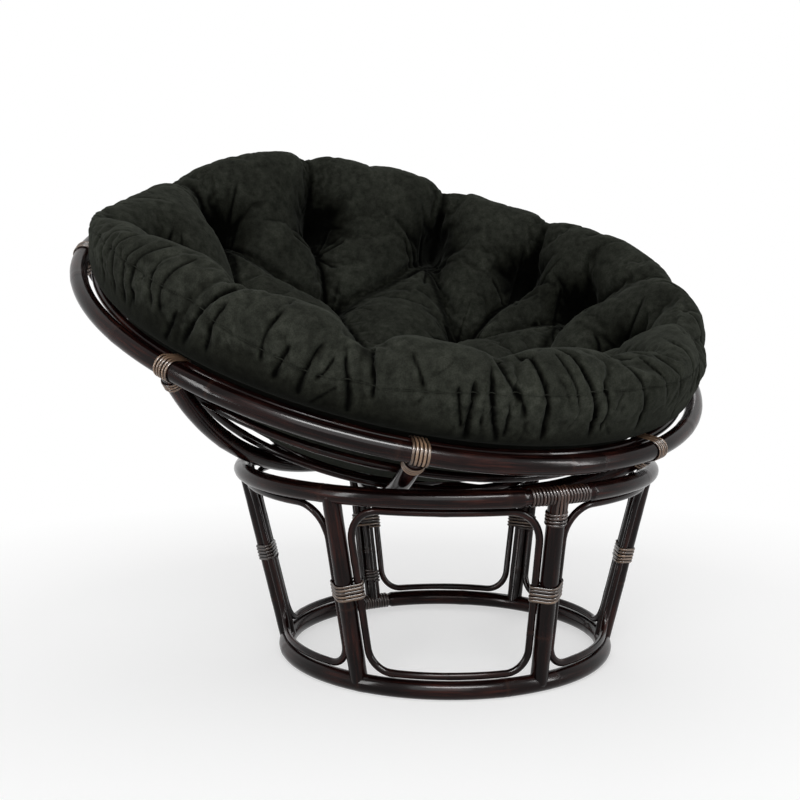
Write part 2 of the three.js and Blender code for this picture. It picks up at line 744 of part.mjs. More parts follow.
function buildBase() {
  const base = new THREE.Group();
  base.add(piece('base_top_ring', splicedRing(topRing), lacquer));
  base.add(piece('base_bottom_ring', splicedRing(bottomRing), lacquer));
  const cutters = [ringClearance(topRing), ringClearance(bottomRing)];
  for (let i = 0; i < legCount; i++) {
    base.add(piece(`leg_${i + 1}`, leg(i, cutters), lacquer));
    base.add(piece(`bay_hoop_${i + 1}`, bayHoop(i), lacquer));
    base.add(piece(`leg_lashing_${i + 1}`, legLashing(i), peel));
  }
  base.add(piece('top_ring_lashing', ringLashing(topRing), peel));
  base.add(piece('bottom_ring_lashing', ringLashing(bottomRing), peel));
  const room = basePole / 2 + seatGap + (legBandTurns + 1) * strandPitch / 2 + strandWidth;
  base.add(piece('leg_head_lashing', legBand(topSpliceLegIndex, topRingHeight - room), peel));
  base.add(piece('leg_foot_lashing', legBand(bottomSpliceLegIndex, basePole + room), peel));
  return base;
}

function buildBowl() {
  const bowl = new THREE.Group();
  bowl.add(piece('rim_hoop', rimHoop(), lacquer));
  bowl.add(piece('inner_rim_hoop', innerRimHoop(), lacquer));
  bowl.add(piece('hub_ring', hubRing(0), lacquer));
  bowlHoopShares.forEach((share, i) => bowl.add(piece(`bowl_hoop_${i + 1}`, bowlHoop(share), lacquer)));
  const cutters = [rimClearance(), hubRing(seatGap)];
  for (let i = 0; i < ribCount; i++) {
    bowl.add(piece(`rib_${i + 1}`, rib(ribAzimuth(i), cutters), lacquer));
    bowl.add(piece(`rim_lashing_${i + 1}`, rimLashing(ribAzimuth(i)), peel));
    bowl.add(piece(`neck_lashing_${i + 1}`, neckLashing(ribAzimuth(i)), peel));
  }
  bowl.add(piece('cushion', cushion(), suede));
  bowl.position.set(0, 0, bowlCentreHeight);
  bowl.rotation.x = bowlTilt;
  return bowl;
}

const chair = new THREE.Group();
chair.add(buildBase(), buildBowl());
chair.updateMatrixWorld(true);
const extent = new THREE.Box3().setFromObject(chair, true);
chair.position.set(-(extent.min.x + extent.max.x) / 2, -(extent.min.y + extent.max.y) / 2, 0);
console.log('least gap between turns of one lashing:', Math.min(...leastGaps).toFixed(2), 'mm');

export default chair;
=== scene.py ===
"""Looks of a papasan chair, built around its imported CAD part. Metres, +Z up.

The bowl leans towards -Y. Azimuths run from -Y towards -X, as in the part's source."""
import json
import math

import bpy
import numpy as np
from mathutils import Matrix, Vector
from mathutils.bvhtree import BVHTree


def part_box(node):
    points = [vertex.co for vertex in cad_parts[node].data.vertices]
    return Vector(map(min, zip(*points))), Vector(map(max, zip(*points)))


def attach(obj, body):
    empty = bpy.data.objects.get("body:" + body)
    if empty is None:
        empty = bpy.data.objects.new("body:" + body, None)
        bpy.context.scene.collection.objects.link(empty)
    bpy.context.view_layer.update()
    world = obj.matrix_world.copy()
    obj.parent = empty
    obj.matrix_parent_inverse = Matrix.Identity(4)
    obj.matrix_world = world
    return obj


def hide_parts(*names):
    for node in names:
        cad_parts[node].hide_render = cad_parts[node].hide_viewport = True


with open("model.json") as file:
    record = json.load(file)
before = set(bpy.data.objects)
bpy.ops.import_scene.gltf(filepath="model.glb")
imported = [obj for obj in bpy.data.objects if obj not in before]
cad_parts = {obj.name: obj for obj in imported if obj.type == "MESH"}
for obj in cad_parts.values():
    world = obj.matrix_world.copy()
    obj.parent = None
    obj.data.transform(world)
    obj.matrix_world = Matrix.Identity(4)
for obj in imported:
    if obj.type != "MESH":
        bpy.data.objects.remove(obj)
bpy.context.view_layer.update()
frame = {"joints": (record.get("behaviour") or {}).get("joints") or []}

TURN = 2 * math.pi
DEGREE = math.pi / 180
JOINTS = {joint["name"]: joint for joint in frame["joints"]}

# Poles and rods, as diameters
RIM_POLE = 0.029
RIB_POLE = 0.029
BASE_POLE = 0.028
HUB_POLE = 0.029
INNER_HOOP_ROD = 0.015
BOWL_HOOP_ROD = 0.014
BAY_ROD = 0.012
FIT = 0.0003

# How a dressed pole differs from its solid: a little thinner, so that what slides on it stays clear, uneven
# and oval, with knuckles that swell and have a notch in their middle, each by a height and a half length
POLE_PLAY = 0.00055
POLE_UNEVEN = 0.0002
POLE_OVAL = 0.012
KNUCKLE_SWELL = (0.0004, 0.007)
KNUCKLE_NOTCH = (0.00035, 0.0012)
KNUCKLE_MARK = 0.0022
KNUCKLE_FIRST = (0.04, 0.16)
KNUCKLE_SPACING = (0.19, 0.31)
KNUCKLE_END = 0.05
HOOP_STEP = 0.004

# Base
TOP_RING = 0.325
TOP_HEIGHT = 0.3025
BOTTOM_RING = 0.2565
BOTTOM_HEIGHT = BASE_POLE / 2
LEG_COUNT = 6
LEG_START = 8.3 * DEGREE
LEG_FOOT_NUDGES = {0: -2.1 * DEGREE, 1: -0.9 * DEGREE}
LEG_HEAD_NUDGES = {0: 1.6 * DEGREE, 1: -0.4 * DEGREE}
BAY_FOOT_CORNER = 0.034
BAY_HEAD_CORNER = 0.050
BAY_INSET = 0.0055
BAY_LOW = BASE_POLE + FIT + BAY_ROD / 2
BAY_HIGH = TOP_HEIGHT - BASE_POLE / 2 - FIT - BAY_ROD / 2
BAY_TOUCH = math.sqrt(((BASE_POLE + BAY_ROD) / 2 + FIT) ** 2 - BAY_INSET ** 2)
TOP_SPLICE_LEG = 0
BOTTOM_SPLICE_LEG = 3
TOP_SPLICE_TURNS = 18
BOTTOM_SPLICE_TURNS = 10
LEG_TURNS = 5
POLE_TURNS = 4
SADDLE_STRANDS = 4
SADDLE_START = 100 * DEGREE
SADDLE_DROP = 0.030
SADDLE_SETTLE = 0.012
SADDLE_THICKNESS = 0.0012
SADDLE_OUTLINE = ((-1, 0.05), (-0.8, 0.6), (-0.3, 1), (0.3, 1), (0.8, 0.6), (1, 0.05))
SADDLE_GAP = 0.0004
SADDLE_SWAY = 0.0005
SPLICE_REBATE = 0.0024
SPLICE_STEP = 0.003

# Bowl
BOWL_WIDTH = 1.067
RIB_ARC = 0.638
HUB_RING = 0.14
RIM_SLOT = 0.004
RIM_TURNS = 5
NECK_TURNS = 3
NECK_CLEAR = 0.0008
RIB_COUNT = 8
RIB_START = -14.5 * DEGREE
RIB_NUDGES = {2: -4 * DEGREE, 3: 1 * DEGREE}
BOWL_HOOP_SHARES = (0.35, 0.58, 0.81)
RIM_RADIUS = (BOWL_WIDTH - RIM_POLE) / 2
RIM_ANGLE = math.asin(RIM_RADIUS / RIB_ARC)
RIM_DEPTH = RIB_ARC * math.cos(RIM_ANGLE)
HUB_ANGLE = math.asin(HUB_RING / 2 / RIB_ARC)
RIB_INSIDE = RIB_ARC - RIB_POLE / 2 - FIT

# Rattan peel. A lashing's tone is 0 where the lacquer is dark and 1 where the peel shows through.
STRAND_WIDTH = 0.0044
STRAND_THICKNESS = 0.0015
STRAND_PITCH = 0.0052
STRAND_WANDER = 0.0003
STRAND_PROUD = 0.0002
STRAND_TAPER = 0.15
STRAND_OUTLINE = ((-1, 0.05), (-0.93, 0.42), (-0.62, 0.8), (-0.22, 1), (0.22, 1), (0.62, 0.8), (0.93, 0.42),
                  (1, 0.05))
POLE_GAP = 0.0002
BUNDLE_GAP = 0.0003
LEG_TONES = (0.30, 0.50, 0.15, 0.35, 0.35, 0.55)
RIM_TONES = (0.55, 0.62, 0.60, 0.45, 0.50, 0.45, 0.50, 0.85)

# Camera and light
CAMERA_PLACE = (-1.1978, -1.4966, 0.5923)
CAMERA_FORWARD = (0.5920, 0.8001, -0.0967)
CAMERA_LENS = 53.75
CAMERA_SENSOR = 36
CAMERA_CLIP = (0.05, 60)
CHAIR_MIDDLE = Vector((0, -0.13, 0.45))
FLOOR_SIZE = 400.0
FLOOR_SHADOW = 0.52
FLOOR_LIFT = 0.52
FLOOR_FADE = (0.75, 1.4)

# Cushion, in the bowl's frame; heights are measured from the plane of the rim
CUSHION_RADIUS = 0.521
CREST_HEIGHT = 0.147
CREST_RADIUS = 0.470
SIDE_FOOT = 0.027
UNDERSIDE = RIB_INSIDE - BOWL_HOOP_ROD - FIT
UNDERSIDE_EDGE = 0.472
OUTER_TUFT_RADIUS = 0.365
INNER_TUFT_RADIUS = 0.235
# Each sewn crease: azimuth of its tuft, azimuth at the edge, its depth at the crest and at the seam
CREASES = (
    (22, 17, 8, 4), (44, 41, 50, 10), (60, 72, 18, 8), (94, 88, 0, 0), (122, 112, 4, 2), (157, 153, 15, 6),
    (190, 188, 12, 6), (225, 224, 20, 7), (254, 250, 16, 6), (274, 299, 18, 7), (305, 328, 14, 6),
    (340, 5, 6, 4))
INNER_TUFT_AZIMUTHS = (11, 71, 131, 191, 251, 311)
# Depth of the creases: from an outer tuft outwards, at least and at most, and from an inner tuft to the outer
# one ahead, to those beside it and to the middle
OUTER_CREASE = (0.026, 0.050)
AHEAD_CREASE = 0.042
BESIDE_CREASE = 0.036
MIDDLE_CREASE = 0.024
CREASE_OVERRUN = 0.02
CREASE_RADII = (OUTER_TUFT_RADIUS, 0.43, 0.475, 0.51)
CREST_BY_AZIMUTH = (
    (0, 149), (20, 147), (33, 140), (50, 146), (70, 150), (90, 140), (104, 105), (112, 80), (120, 66),
    (130, 62), (140, 64), (150, 72), (160, 101), (170, 128), (180, 140), (195, 146), (210, 146), (225, 133),
    (240, 126), (255, 146), (270, 158), (285, 160), (300, 152), (315, 145), (330, 142), (345, 146),
    (360, 149))
# From which radius, and over how far, the height of the crest and the shoulder's lean take hold
CREST_RISE = (0.30, 0.13)
SHOULDER_RISE = (0.43, 0.05)
# Creases reach down the side to its foot, and fade over this height
SIDE_RADIUS = 0.40
SIDE_RISE = 0.03
CUSHION_PROFILE = (
    (0, -82), (60, -80), (120, -76), (180, -68), (240, -52), (280, -30), (310, -6), (345, 28), (375, 60),
    (400, 96), (420, 124), (443, 143), (466, 148), (486, 140), (501, 124), (511, 106), (518, 88), (522, 70),
    (523, 52), (520, 34), (513, 21), (501, 13), (489, 9), (480, 6))
# Where the seam lies on the crest, near one azimuth, the side is a wedge
WEDGE_PROFILE = (
    (0, -82), (60, -80), (120, -76), (180, -68), (240, -52), (280, -32), (310, -10), (345, 22), (375, 52),
    (400, 78), (425, 101), (450, 120), (475, 134), (495, 143), (505, 147), (510, 147), (513, 128), (515, 100),
    (516, 70), (512, 42), (505, 24), (496, 14), (489, 9), (480, 6))
WEDGE_AZIMUTH = 113
WEDGE_REACH = 13
# On the right the side leans in above and below its middle: height and how far, in mm
SHOULDER_AZIMUTH = 314
SHOULDER_REACH = 20
SHOULDER_PROFILE = ((0, 8), (45, 8), (68, 0), (84, 4), (108, 21), (150, 21))
SEAM_BY_AZIMUTH = (
    (0, 107), (11, 103), (21, 99), (31, 87), (38, 77), (49, 72), (58, 84), (72, 101), (89, 106), (97, 101),
    (104, 89), (112, 70), (120, 57), (130, 54), (140, 55), (150, 60), (165, 88), (180, 102), (300, 106),
    (330, 107), (345, 109), (360, 107))
# Folds: depth and half width in mm, and the points that each runs through: azimuth in degrees and height in
# mm, which past the crest goes on inwards
FOLDS = (
    (7, 7, ((27.4, 108), (26.6, 82), (25.2, 40))),
    (11, 8, ((25.0, 116), (24.8, 78), (24.2, 24))),
    (4, 6, ((23.4, 96), (22.8, 70), (22.6, 48))),
    (10, 8, ((22.6, 138), (22.2, 91), (19.0, 26))),
    (6, 8, ((22.8, 160), (21, 130), (17.4, 93), (15.5, 62))),
    (9, 9, ((17, 166), (15.4, 142), (13.6, 112), (12.4, 70), (12.2, 30))),
    (5, 7, ((19.4, 96), (18.6, 66), (18.4, 34))),
    (9, 9, ((9, 176), (6.8, 138), (4.4, 103), (3.2, 69), (3.4, 34))),
    (6, 6, ((2.6, 122), (1.2, 84), (1.6, 44))),
    (4, 6, ((11, 150), (8.4, 118), (7.2, 80))),
    (5, 8, ((360, 160), (356.4, 138), (353.8, 107), (352.6, 63), (353.4, 34))),
    (3.5, 6, ((356, 172), (351.5, 146), (348.4, 112), (347.4, 76))),
    (3.5, 6, ((351, 168), (346.5, 142), (343.4, 104), (342.8, 66))),
    (4, 7, ((35, 136), (33, 112), (32, 88))),
    (8, 7, ((41, 124), (39.4, 89), (38.8, 58))),
    (8, 7, ((44.4, 116), (43.2, 88), (42.2, 56), (42, 30))),
    (5, 6, ((45.4, 106), (46.2, 82), (47.6, 64))),
    (6, 8, ((47.4, 118), (48.8, 88), (49.4, 60), (49.6, 34))),
    (7, 8, ((52, 104), (53, 78), (53.6, 46))),
    (4, 7, ((55.2, 138), (56.2, 106), (56, 62))),
    (11, 9, ((58, 176), (60.5, 150), (64.4, 140), (67.2, 112), (68.6, 80), (70, 36))),
    (6, 7, ((63.4, 126), (65, 93), (65.2, 44))),
    (5, 6, ((72, 84), (72.6, 60), (73.6, 32))),
    (4, 9, ((74, 152), (76, 124), (76.2, 92), (74.8, 60))),
    (4, 7, ((79.6, 132), (78.4, 97), (77, 66))),
    (4, 9, ((80, 158), (83.6, 124), (83.4, 90), (81, 50))),
    (3.5, 7, ((84, 146), (86.4, 112), (85, 70), (83.6, 44))),
    (3.5, 7, ((88, 152), (90.6, 120), (89, 80), (87, 46))),
    (3, 6, ((93, 150), (95, 118), (93.4, 82), (91.6, 52))),
    (5, 8, ((296, 190), (297, 160), (302, 140), (306, 108), (307, 72))),
    (5, 8, ((318, 186), (322, 158), (328, 136), (332, 104), (333, 64))),
    (4, 7, ((310, 150), (314, 120), (316, 80))),
    (4, 7, ((336, 158), (338.4, 126), (338, 88))),
    (5, 8, ((224, 168), (223.4, 136), (223, 96), (223.6, 56))),
    (5, 8, ((250.6, 168), (250, 136), (249.4, 96), (249.8, 56))),
    (5, 8, ((188.4, 168), (188, 136), (187.6, 96), (188, 56))),
    (5, 8, ((152, 168), (152.6, 130), (153, 92), (152.4, 56))))
# Fine wrinkles: how many, and from least to most their height, half length, depth and half width, in mm, and
# how far they lean and bend, in degrees
FINE_WRINKLES = 120
WRINKLE_HEIGHT = (48, 165)
WRINKLE_HALF = (12, 30)
WRINKLE_DEPTH = (0.5, 1.8)
WRINKLE_WIDTH = (3.5, 6.0)
WRINKLE_LEAN = 1.6
WRINKLE_BEND = 0.7
# Folds and painted shade begin over this much of the underside, and folds over this much height too
FOLDS_OVER_UNDERSIDE = (0.006, 0.012)
FOLDS_OVER_RIM = (0.004, 0.014)
SHADE_OVER_UNDERSIDE = (0.010, 0.015)
SEAM_DEPTH = 0.0016
SEAM_WIDTH = 0.0045
SEAM_CORD = 0.0007
SEAM_STEPS = 1080
SEAM_FROM = 0.62
SEAM_SEARCH = 0.22
# Depth of a tuft's pit, its width, and how far the painted shade in it reaches
OUTER_PIT = (0.062, 0.036, 0.050)
INNER_PIT = (0.046, 0.030, 0.030)
DEEPEST_PULL = 0.106
CREASE_REACH = 0.075
# Painted shade along a crease: how far it reaches, the radii at which the crease's depth is read for it, how
# dark it grows with depth, and how dark in a pit
CREASE_SHADE = 0.0075
CREASE_SHADE_RADII = (0.38, 0.47, 0.50)
SHADE_PER_DEPTH = 22
PIT_SHADE = 1.7
GATHER_REACH = (0.045, 0.085)
GATHER_WIDTH = (0.004, 0.007)
GATHER_DEPTH = (0.0015, 0.004)
# Shade is painted on the foot of the side, up to this height, and higher on the left
FOOT_LOW = 0.014
FOOT_SHADE = 0.064
FOOT_SHADE_LEFT = (0.034, 70, 34)
FOOT_RISE = (0.42, 0.03)
# How deep the small and large hollows, and the folds, are where their painted shade is darkest, and the
# rounds of evening that tell hollows of the two sizes
SMALL_HOLLOW = 0.0016
LARGE_HOLLOW = 0.010
DARK_FOLD = 0.0050
SMALL_ROUNDS = 8
LARGE_ROUNDS = 110
SPOKES = 400
SIDE_ROWS = 130
UNDERSIDE_ROWS = 60
UNDERSIDE_END = 0.012
VOXEL = 0.0055
SWELL = 0.005
# What the cloth is held by: creases, more firmly the deeper they are, pits, the underside and the foot
HOLD_RADII = (0.39, 0.46)
HOLD_PER_DEPTH = 20
HOLD_PER_CREST_DEPTH = 30
CREASE_HOLD = 0.010
PIT_HOLD = 0.020
UNDERSIDE_HOLD = 0.004
FOOT_HOLD = 0.008
HOLD_LEVELS = (0.3, 0.5, 0.7, 0.9, 1.0)
HOLD_STEP = 0.2
HOLD_LEAST = 0.25
CLOTH_SETTINGS = {"quality": 4, "mass": 0.25, "tension_stiffness": 12, "compression_stiffness": 8,
                  "shear_stiffness": 5, "bending_stiffness": 0.4, "use_pressure": True,
                  "uniform_pressure_force": 4, "shrink_min": -0.06, "pin_stiffness": 1.0}
CLOTH_FRAMES = 20
CLOTH_CAP = 0.024

BASE_AXIS = (sum(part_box("base_bottom_ring"), Vector()) / 2).to_2d().to_3d()
BOWL_CENTRE = Vector(JOINTS["bowl_tilt"]["pos_m"])
BOWL_UP = Vector(JOINTS["cushion_lift"]["axis"])
BOWL_RIGHT = Vector((1, 0, 0))
BOWL_TURN = np.array(Matrix((BOWL_RIGHT, BOWL_UP.cross(BOWL_RIGHT), BOWL_UP)).transposed())


def polar(radius, azimuth, height):
    """Points as rows of x, y, z; each argument is a number or an array."""
    x, y, z = np.broadcast_arrays(-radius * np.sin(azimuth), -radius * np.cos(azimuth), height)
    return np.stack([x, y, z], axis=-1).astype(float)


def in_bowl(points):
    """Points of the bowl's own frame, whose origin is the centre of the ribs' arcs, in the row frame."""
    return points @ BOWL_TURN.T + np.array(BOWL_CENTRE)


def on_base(points):
    return points + np.array(BASE_AXIS)


def unit(vectors):
    return vectors / np.linalg.norm(vectors, axis=-1, keepdims=True)


def rise(value, low, width):
    """0 up to low, and 1 from a width above it."""
    return np.clip((value - low) / width, 0, 1)


def rib_azimuth(i):
    return RIB_START + TURN * i / RIB_COUNT + RIB_NUDGES.get(i, 0)


def leg_place(i):
    return LEG_START + TURN * i / LEG_COUNT


def foot_azimuth(i):
    return leg_place(i) + LEG_FOOT_NUDGES.get(i % LEG_COUNT, 0)


def head_azimuth(i):
    return leg_place(i) + LEG_HEAD_NUDGES.get(i % LEG_COUNT, 0)


def link(name, data):
    obj = bpy.data.objects.new(name, data)
    bpy.context.scene.collection.objects.link(obj)
    return obj


def mesh_object(name, points, faces, material, smooth=True):
    mesh = bpy.data.meshes.new(name)
    mesh.from_pydata([tuple(p) for p in points], [], faces)
    mesh.materials.append(material)
    mesh.shade_smooth() if smooth else mesh.shade_flat()
    return link(name, mesh)


def attribute(obj, name, kind, values):
    """Writes a value for each vertex, which materials read by name."""
    layer = obj.data.attributes.new(name, kind, "POINT")
    socket = "vector" if kind == "FLOAT_VECTOR" else "value"
    layer.data.foreach_set(socket, np.asarray(values, np.float32).ravel())


def tube_faces(count, size, closed):
    faces = []
    for i in range(count if closed else count - 1):
        here, there = i * size, (i + 1) % count * size
        for j in range(size):
            k = (j + 1) % size
            faces.append((here + j, here + k, there + k, there + j))
    return faces


def skin(name, rings, closed, material):
    """A tube through rings of points (rings, points on a ring, 3), closed on itself or capped."""
    count, size = rings.shape[:2]
    faces = tube_faces(count, size, closed)
    if not closed:
        faces.append(tuple(range(size - 1, -1, -1)))
        faces.append(tuple((count - 1) * size + j for j in range(size)))
    return mesh_object(name, rings.reshape(-1, 3), faces, material)


def arc_length(points):
    steps = np.linalg.norm(np.diff(points, axis=0), axis=1)
    return np.concatenate([[0], np.cumsum(steps)])


def frames_along(points, closed, outward):
    """Two directions across a line at each of its points, the first one as near outward as can be."""
    if closed:
        tangent = unit(np.roll(points, -1, axis=0) - np.roll(points, 1, axis=0))
    else:
        tangent = unit(np.gradient(points, axis=0))
    out = unit(outward - tangent * np.sum(outward * tangent, axis=1, keepdims=True))
    return out, np.cross(tangent, out)


def nodes_of(name):
    material = bpy.data.materials.new(name)
    material.use_nodes = True
    tree = material.node_tree
    return material, tree, tree.nodes["Principled BSDF"]


def fill(tree, node, *first, **named):
    """Settings and sockets by name, with _ where a socket's name has a space, and first the first sockets
    in order. A socket is linked to another node's output or gets a constant."""
    chosen = list(zip(node.inputs, first))
    for name, value in named.items():
        socket = name.replace("_", " ")
        if socket in node.inputs:
            chosen.append((node.inputs[socket], value))
        else:
            setattr(node, name, value)
    for socket, value in chosen:
        if isinstance(value, bpy.types.NodeSocket):
            tree.links.new(value, socket)
        else:
            socket.default_value = value
    return node


def add(tree, kind, *first, **named):
    return fill(tree, tree.nodes.new(kind), *first, **named)


def grey(value):
    return (value, value, value)


def read(tree, name, output="Fac"):
    return add(tree, "ShaderNodeAttribute", attribute_name=name).outputs[output]


def noise(tree, vector, scale, detail=4.0, rough=0.55, stretch=None):
    """Noise over a vector, finer across than along where stretch says so."""
    if stretch is not None:
        vector = add(tree, "ShaderNodeMapping", Vector=vector, Scale=stretch).outputs["Vector"]
    made = add(tree, "ShaderNodeTexNoise", Vector=vector, Scale=scale, Detail=detail, Roughness=rough)
    return made.outputs["Fac"]


def ramp(tree, fac, stops):
    made = add(tree, "ShaderNodeValToRGB", fac)
    elements = made.color_ramp.elements
    while len(elements) < len(stops):
        elements.new(0.5)
    for element, (place, colour) in zip(elements, stops):
        element.position = place
        element.color = (*colour, 1)
    return made.outputs["Color"]


def span(tree, value, low, high, to_low, to_high):
    return add(tree, "ShaderNodeMapRange", value, low, high, to_low, to_high).outputs["Result"]


def blend_colour(tree, fac, a, b, mode="MIX"):
    made = add(tree, "ShaderNodeMix", data_type="RGBA", blend_type=mode)
    for k, value in ((0, fac), (6, a), (7, b)):
        if isinstance(value, bpy.types.NodeSocket):
            tree.links.new(value, made.inputs[k])
        else:
            made.inputs[k].default_value = value
    return made.outputs[2]


def tint(tree, colour, by):
    return blend_colour(tree, 1.0, colour, by, "MULTIPLY")


def combine(tree, operation, a, b):
    return add(tree, "ShaderNodeMath", a, b, operation=operation).outputs[0]


def bumps(tree, *layers):
    """Bumps one over another, each with its height, distance and strength."""
    normal = None
    for height, distance, strength in layers:
        made = add(tree, "ShaderNodeBump", Height=height, Distance=distance, Strength=strength)
        if normal is not None:
            tree.links.new(normal, made.inputs["Normal"])
        normal = made.outputs["Normal"]
    return normal


def lacquered_rattan():
    """Near-black brown lacquer over bent rattan, redder where it is thin."""
    material, tree, shader = nodes_of("lacquered_rattan")
    grain = read(tree, "grain", "Vector")
    streak = noise(tree, grain, 240, 5, 0.6, (1, 1, 0.06))
    cloud = noise(tree, grain, 26, 3, 0.5, (1, 1, 0.35))
    pits = noise(tree, grain, 900, 3, 0.6, (1, 1, 0.2))
    colour = ramp(tree, streak, [
        (0.34, (0.0030, 0.0012, 0.0012)), (0.52, (0.0100, 0.0036, 0.0032)), (0.70, (0.034, 0.0100, 0.0068))])
    colour = tint(tree, colour, ramp(tree, cloud, [(0.42, (0.45, 0.42, 0.45)), (0.70, (1.6, 1.3, 1.2))]))
    mark = combine(tree, "MULTIPLY", read(tree, "knuckle"), 0.45)
    fill(tree, shader, Base_Color=blend_colour(tree, mark, colour, (0.030, 0.012, 0.008, 1)),
         Roughness=span(tree, cloud, 0.3, 0.75, 0.14, 0.30),
         Normal=bumps(tree, (streak, 0.00035, 0.35), (cloud, 0.0012, 0.3), (pits, 0.00012, 0.3)),
         Specular_IOR_Level=0.10, Coat_Weight=0.08, Coat_Roughness=0.08)
    return material


def rattan_peel(name, dark, light):
    """Split rattan peel under lacquer, with painted shade along the edges of each turn, where the turns meet.
    """
    material, tree, shader = nodes_of(name)
    grain = read(tree, "grain", "Vector")
    fibre = noise(tree, grain, 2600, 4, 0.6, (1, 1, 0.012))
    patch = noise(tree, grain, 140, 3, 0.6, (1, 1, 0.35))
    mixed = combine(tree, "MULTIPLY", combine(tree, "ADD", fibre, patch), 0.5)
    mixed = combine(tree, "ADD", mixed, span(tree, read(tree, "shade"), 0, 1, -0.28, 0.28))
    middle = tuple(0.65 * a + 0.35 * b for a, b in zip(dark, light))
    colour = ramp(tree, mixed, [(0.30, dark), (0.52, middle), (0.80, light)])
    # Painted shade: darker towards the edges of each turn
    painted_shading = ramp(tree, read(tree, "edge"), [(0.55, grey(1)), (0.97, (0.16, 0.11, 0.09))])
    fill(tree, shader, Base_Color=tint(tree, colour, painted_shading), Normal=bumps(tree, (fibre, 0.0002, 0.5)),
         Roughness=span(tree, patch, 0.3, 0.7, 0.26, 0.44),
         Specular_IOR_Level=0.35, Coat_Weight=0.3, Coat_Roughness=0.12)
    return material


def suede():
    """Dark suede cloth: short nap brushed into lighter and darker patches, with painted shade in the creases
    and painted light on ridges.
    """
    material, tree, shader = nodes_of("suede")
    place = add(tree, "ShaderNodeTexCoord").outputs["Object"]
    brushed = noise(tree, place, 17, 4, 0.6)
    nap = noise(tree, place, 75, 5, 0.68)
    fine = noise(tree, place, 520, 4, 0.7)
    hair = noise(tree, place, 2400, 2, 0.6)
    colour = ramp(tree, nap, [(0.30, (0.0105, 0.0115, 0.0090)), (0.70, (0.0280, 0.0300, 0.0240))])
    colour = tint(tree, colour, ramp(tree, brushed, [(0.36, grey(0.80)), (0.66, grey(1.22))]))
    colour = tint(tree, colour, ramp(tree, fine, [(0.3, grey(0.72)), (0.7, grey(1.3))]))
    # Painted light on ridges, and painted shade in hollows, folds, creases, pits and at the foot of the side
    painted_shading = ramp(tree, span(tree, read(tree, "painted_light_and_shade"), -1, 1, 0, 1), [
        (0.0, grey(1.5)), (0.5, grey(1.0)), (0.72, (0.52, 0.52, 0.50)), (1.0, grey(0.06))])
    fill(tree, shader, Base_Color=tint(tree, colour, painted_shading), Roughness=span(tree, nap, 0.3, 0.7, 0.82, 0.96),
         Normal=bumps(tree, (nap, 0.0012, 0.35), (fine, 0.0005, 0.5), (hair, 0.0002, 0.5)),
         Specular_IOR_Level=0.0, Sheen_Weight=0.07, Sheen_Roughness=0.45, Sheen_Tint=(0.62, 0.66, 0.58, 1))
    return material


LACQUER = lacquered_rattan()
PEEL = rattan_peel("rattan_peel", (0.018, 0.009, 0.006), (0.33, 0.21, 0.13))
DARK_PEEL = rattan_peel("dark_peel", (0.007, 0.0035, 0.003), (0.070, 0.030, 0.018))
SUEDE = suede()


def knuckles(length, seed, closed):
    """Places along a pole where it has a knuckle, as a stem of rattan has between its leaves."""
    rng = np.random.default_rng(seed)
    places = [rng.uniform(*KNUCKLE_FIRST)]
    while places[-1] < length:
        places.append(places[-1] + rng.uniform(*KNUCKLE_SPACING))
    end = length - (KNUCKLE_END if closed else 0.0)
    return [p for p in places if p < end]


def settle(obj, node, body):
    """A piece stands for a CAD node, whose part it hides, and rides on its body."""
    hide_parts(node)
    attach(obj, body)


def pole(name, node, body, points, outward, diameter, closed, seed, sides=18, rebate=None):
    """A pole of bent rattan along a line: a little uneven, with a knuckle now and then.
    It is never thicker than its diameter, so what slides on it stays clear."""
    out, side = frames_along(points, closed, outward)
    loop = np.vstack([points, points[:1]]) if closed else points
    along = arc_length(loop)
    length = along[-1]
    along = along[:len(points)]
    rng = np.random.default_rng(seed + 1000)
    waves = [(rng.uniform(0, TURN), k) for k in (2, 3, 5, 9)]
    uneven = sum(np.sin(TURN * k * along / length + phase) for phase, k in waves) / len(waves)
    radius = diameter / 2 - POLE_PLAY + POLE_UNEVEN * uneven
    mark = np.zeros(len(points))
    for place in knuckles(length, seed, closed):
        for sign, (depth, half) in ((1, KNUCKLE_SWELL), (-1, KNUCKLE_NOTCH)):
            radius += sign * depth * np.exp(-((along - place) / half) ** 2)
        mark = np.maximum(mark, np.exp(-((along - place) / KNUCKLE_MARK) ** 2))
    if rebate is not None:
        radius = radius - rebate
    angle = TURN * np.arange(sides) / sides
    spin = rng.uniform(0, TURN)
    oval = 1 - POLE_OVAL * (1 + np.cos(2 * (angle[None, :] - spin) + 3 * along[:, None]))
    reach = radius[:, None] * oval
    rings = (points[:, None, :]
             + (reach * np.cos(angle))[:, :, None] * out[:, None, :]
             + (reach * np.sin(angle))[:, :, None] * side[:, None, :])
    obj = skin(name, rings, closed, LACQUER)
    grain = np.stack(np.broadcast_arrays(
        reach * np.cos(angle), reach * np.sin(angle), along[:, None] + 3.7 * seed), axis=-1)
    attribute(obj, "grain", "FLOAT_VECTOR", grain)
    attribute(obj, "knuckle", "FLOAT", np.repeat(mark, sides))
    settle(obj, node, body)


def hoop(name, node, body, radius, height, diameter, seed, rebate=None, sides=18):
    place = in_bowl if body == "bowl" else on_base
    count = int(TURN * radius / HOOP_STEP)
    azimuth = TURN * np.arange(count) / count
    points = place(polar(radius, azimuth, height))
    centre = place(polar(0.0, azimuth, height))
    pole(name, node, body, points, unit(points - centre), diameter, True, seed, sides,
         None if rebate is None else rebate(azimuth))


def bundle_loop(poles, angles, gap):
    """A tight loop round a bundle of round poles (x, y, radius): its points and the way out at each."""
    out = np.stack([np.cos(angles), np.sin(angles)], axis=1)
    centres = np.array([(x, y) for x, y, _ in poles])
    reach = np.array([radius for _, _, radius in poles]) + gap
    support = out @ centres.T + reach
    best = np.argmax(support, axis=1)
    return centres[best] + reach[best][:, None] * out, out


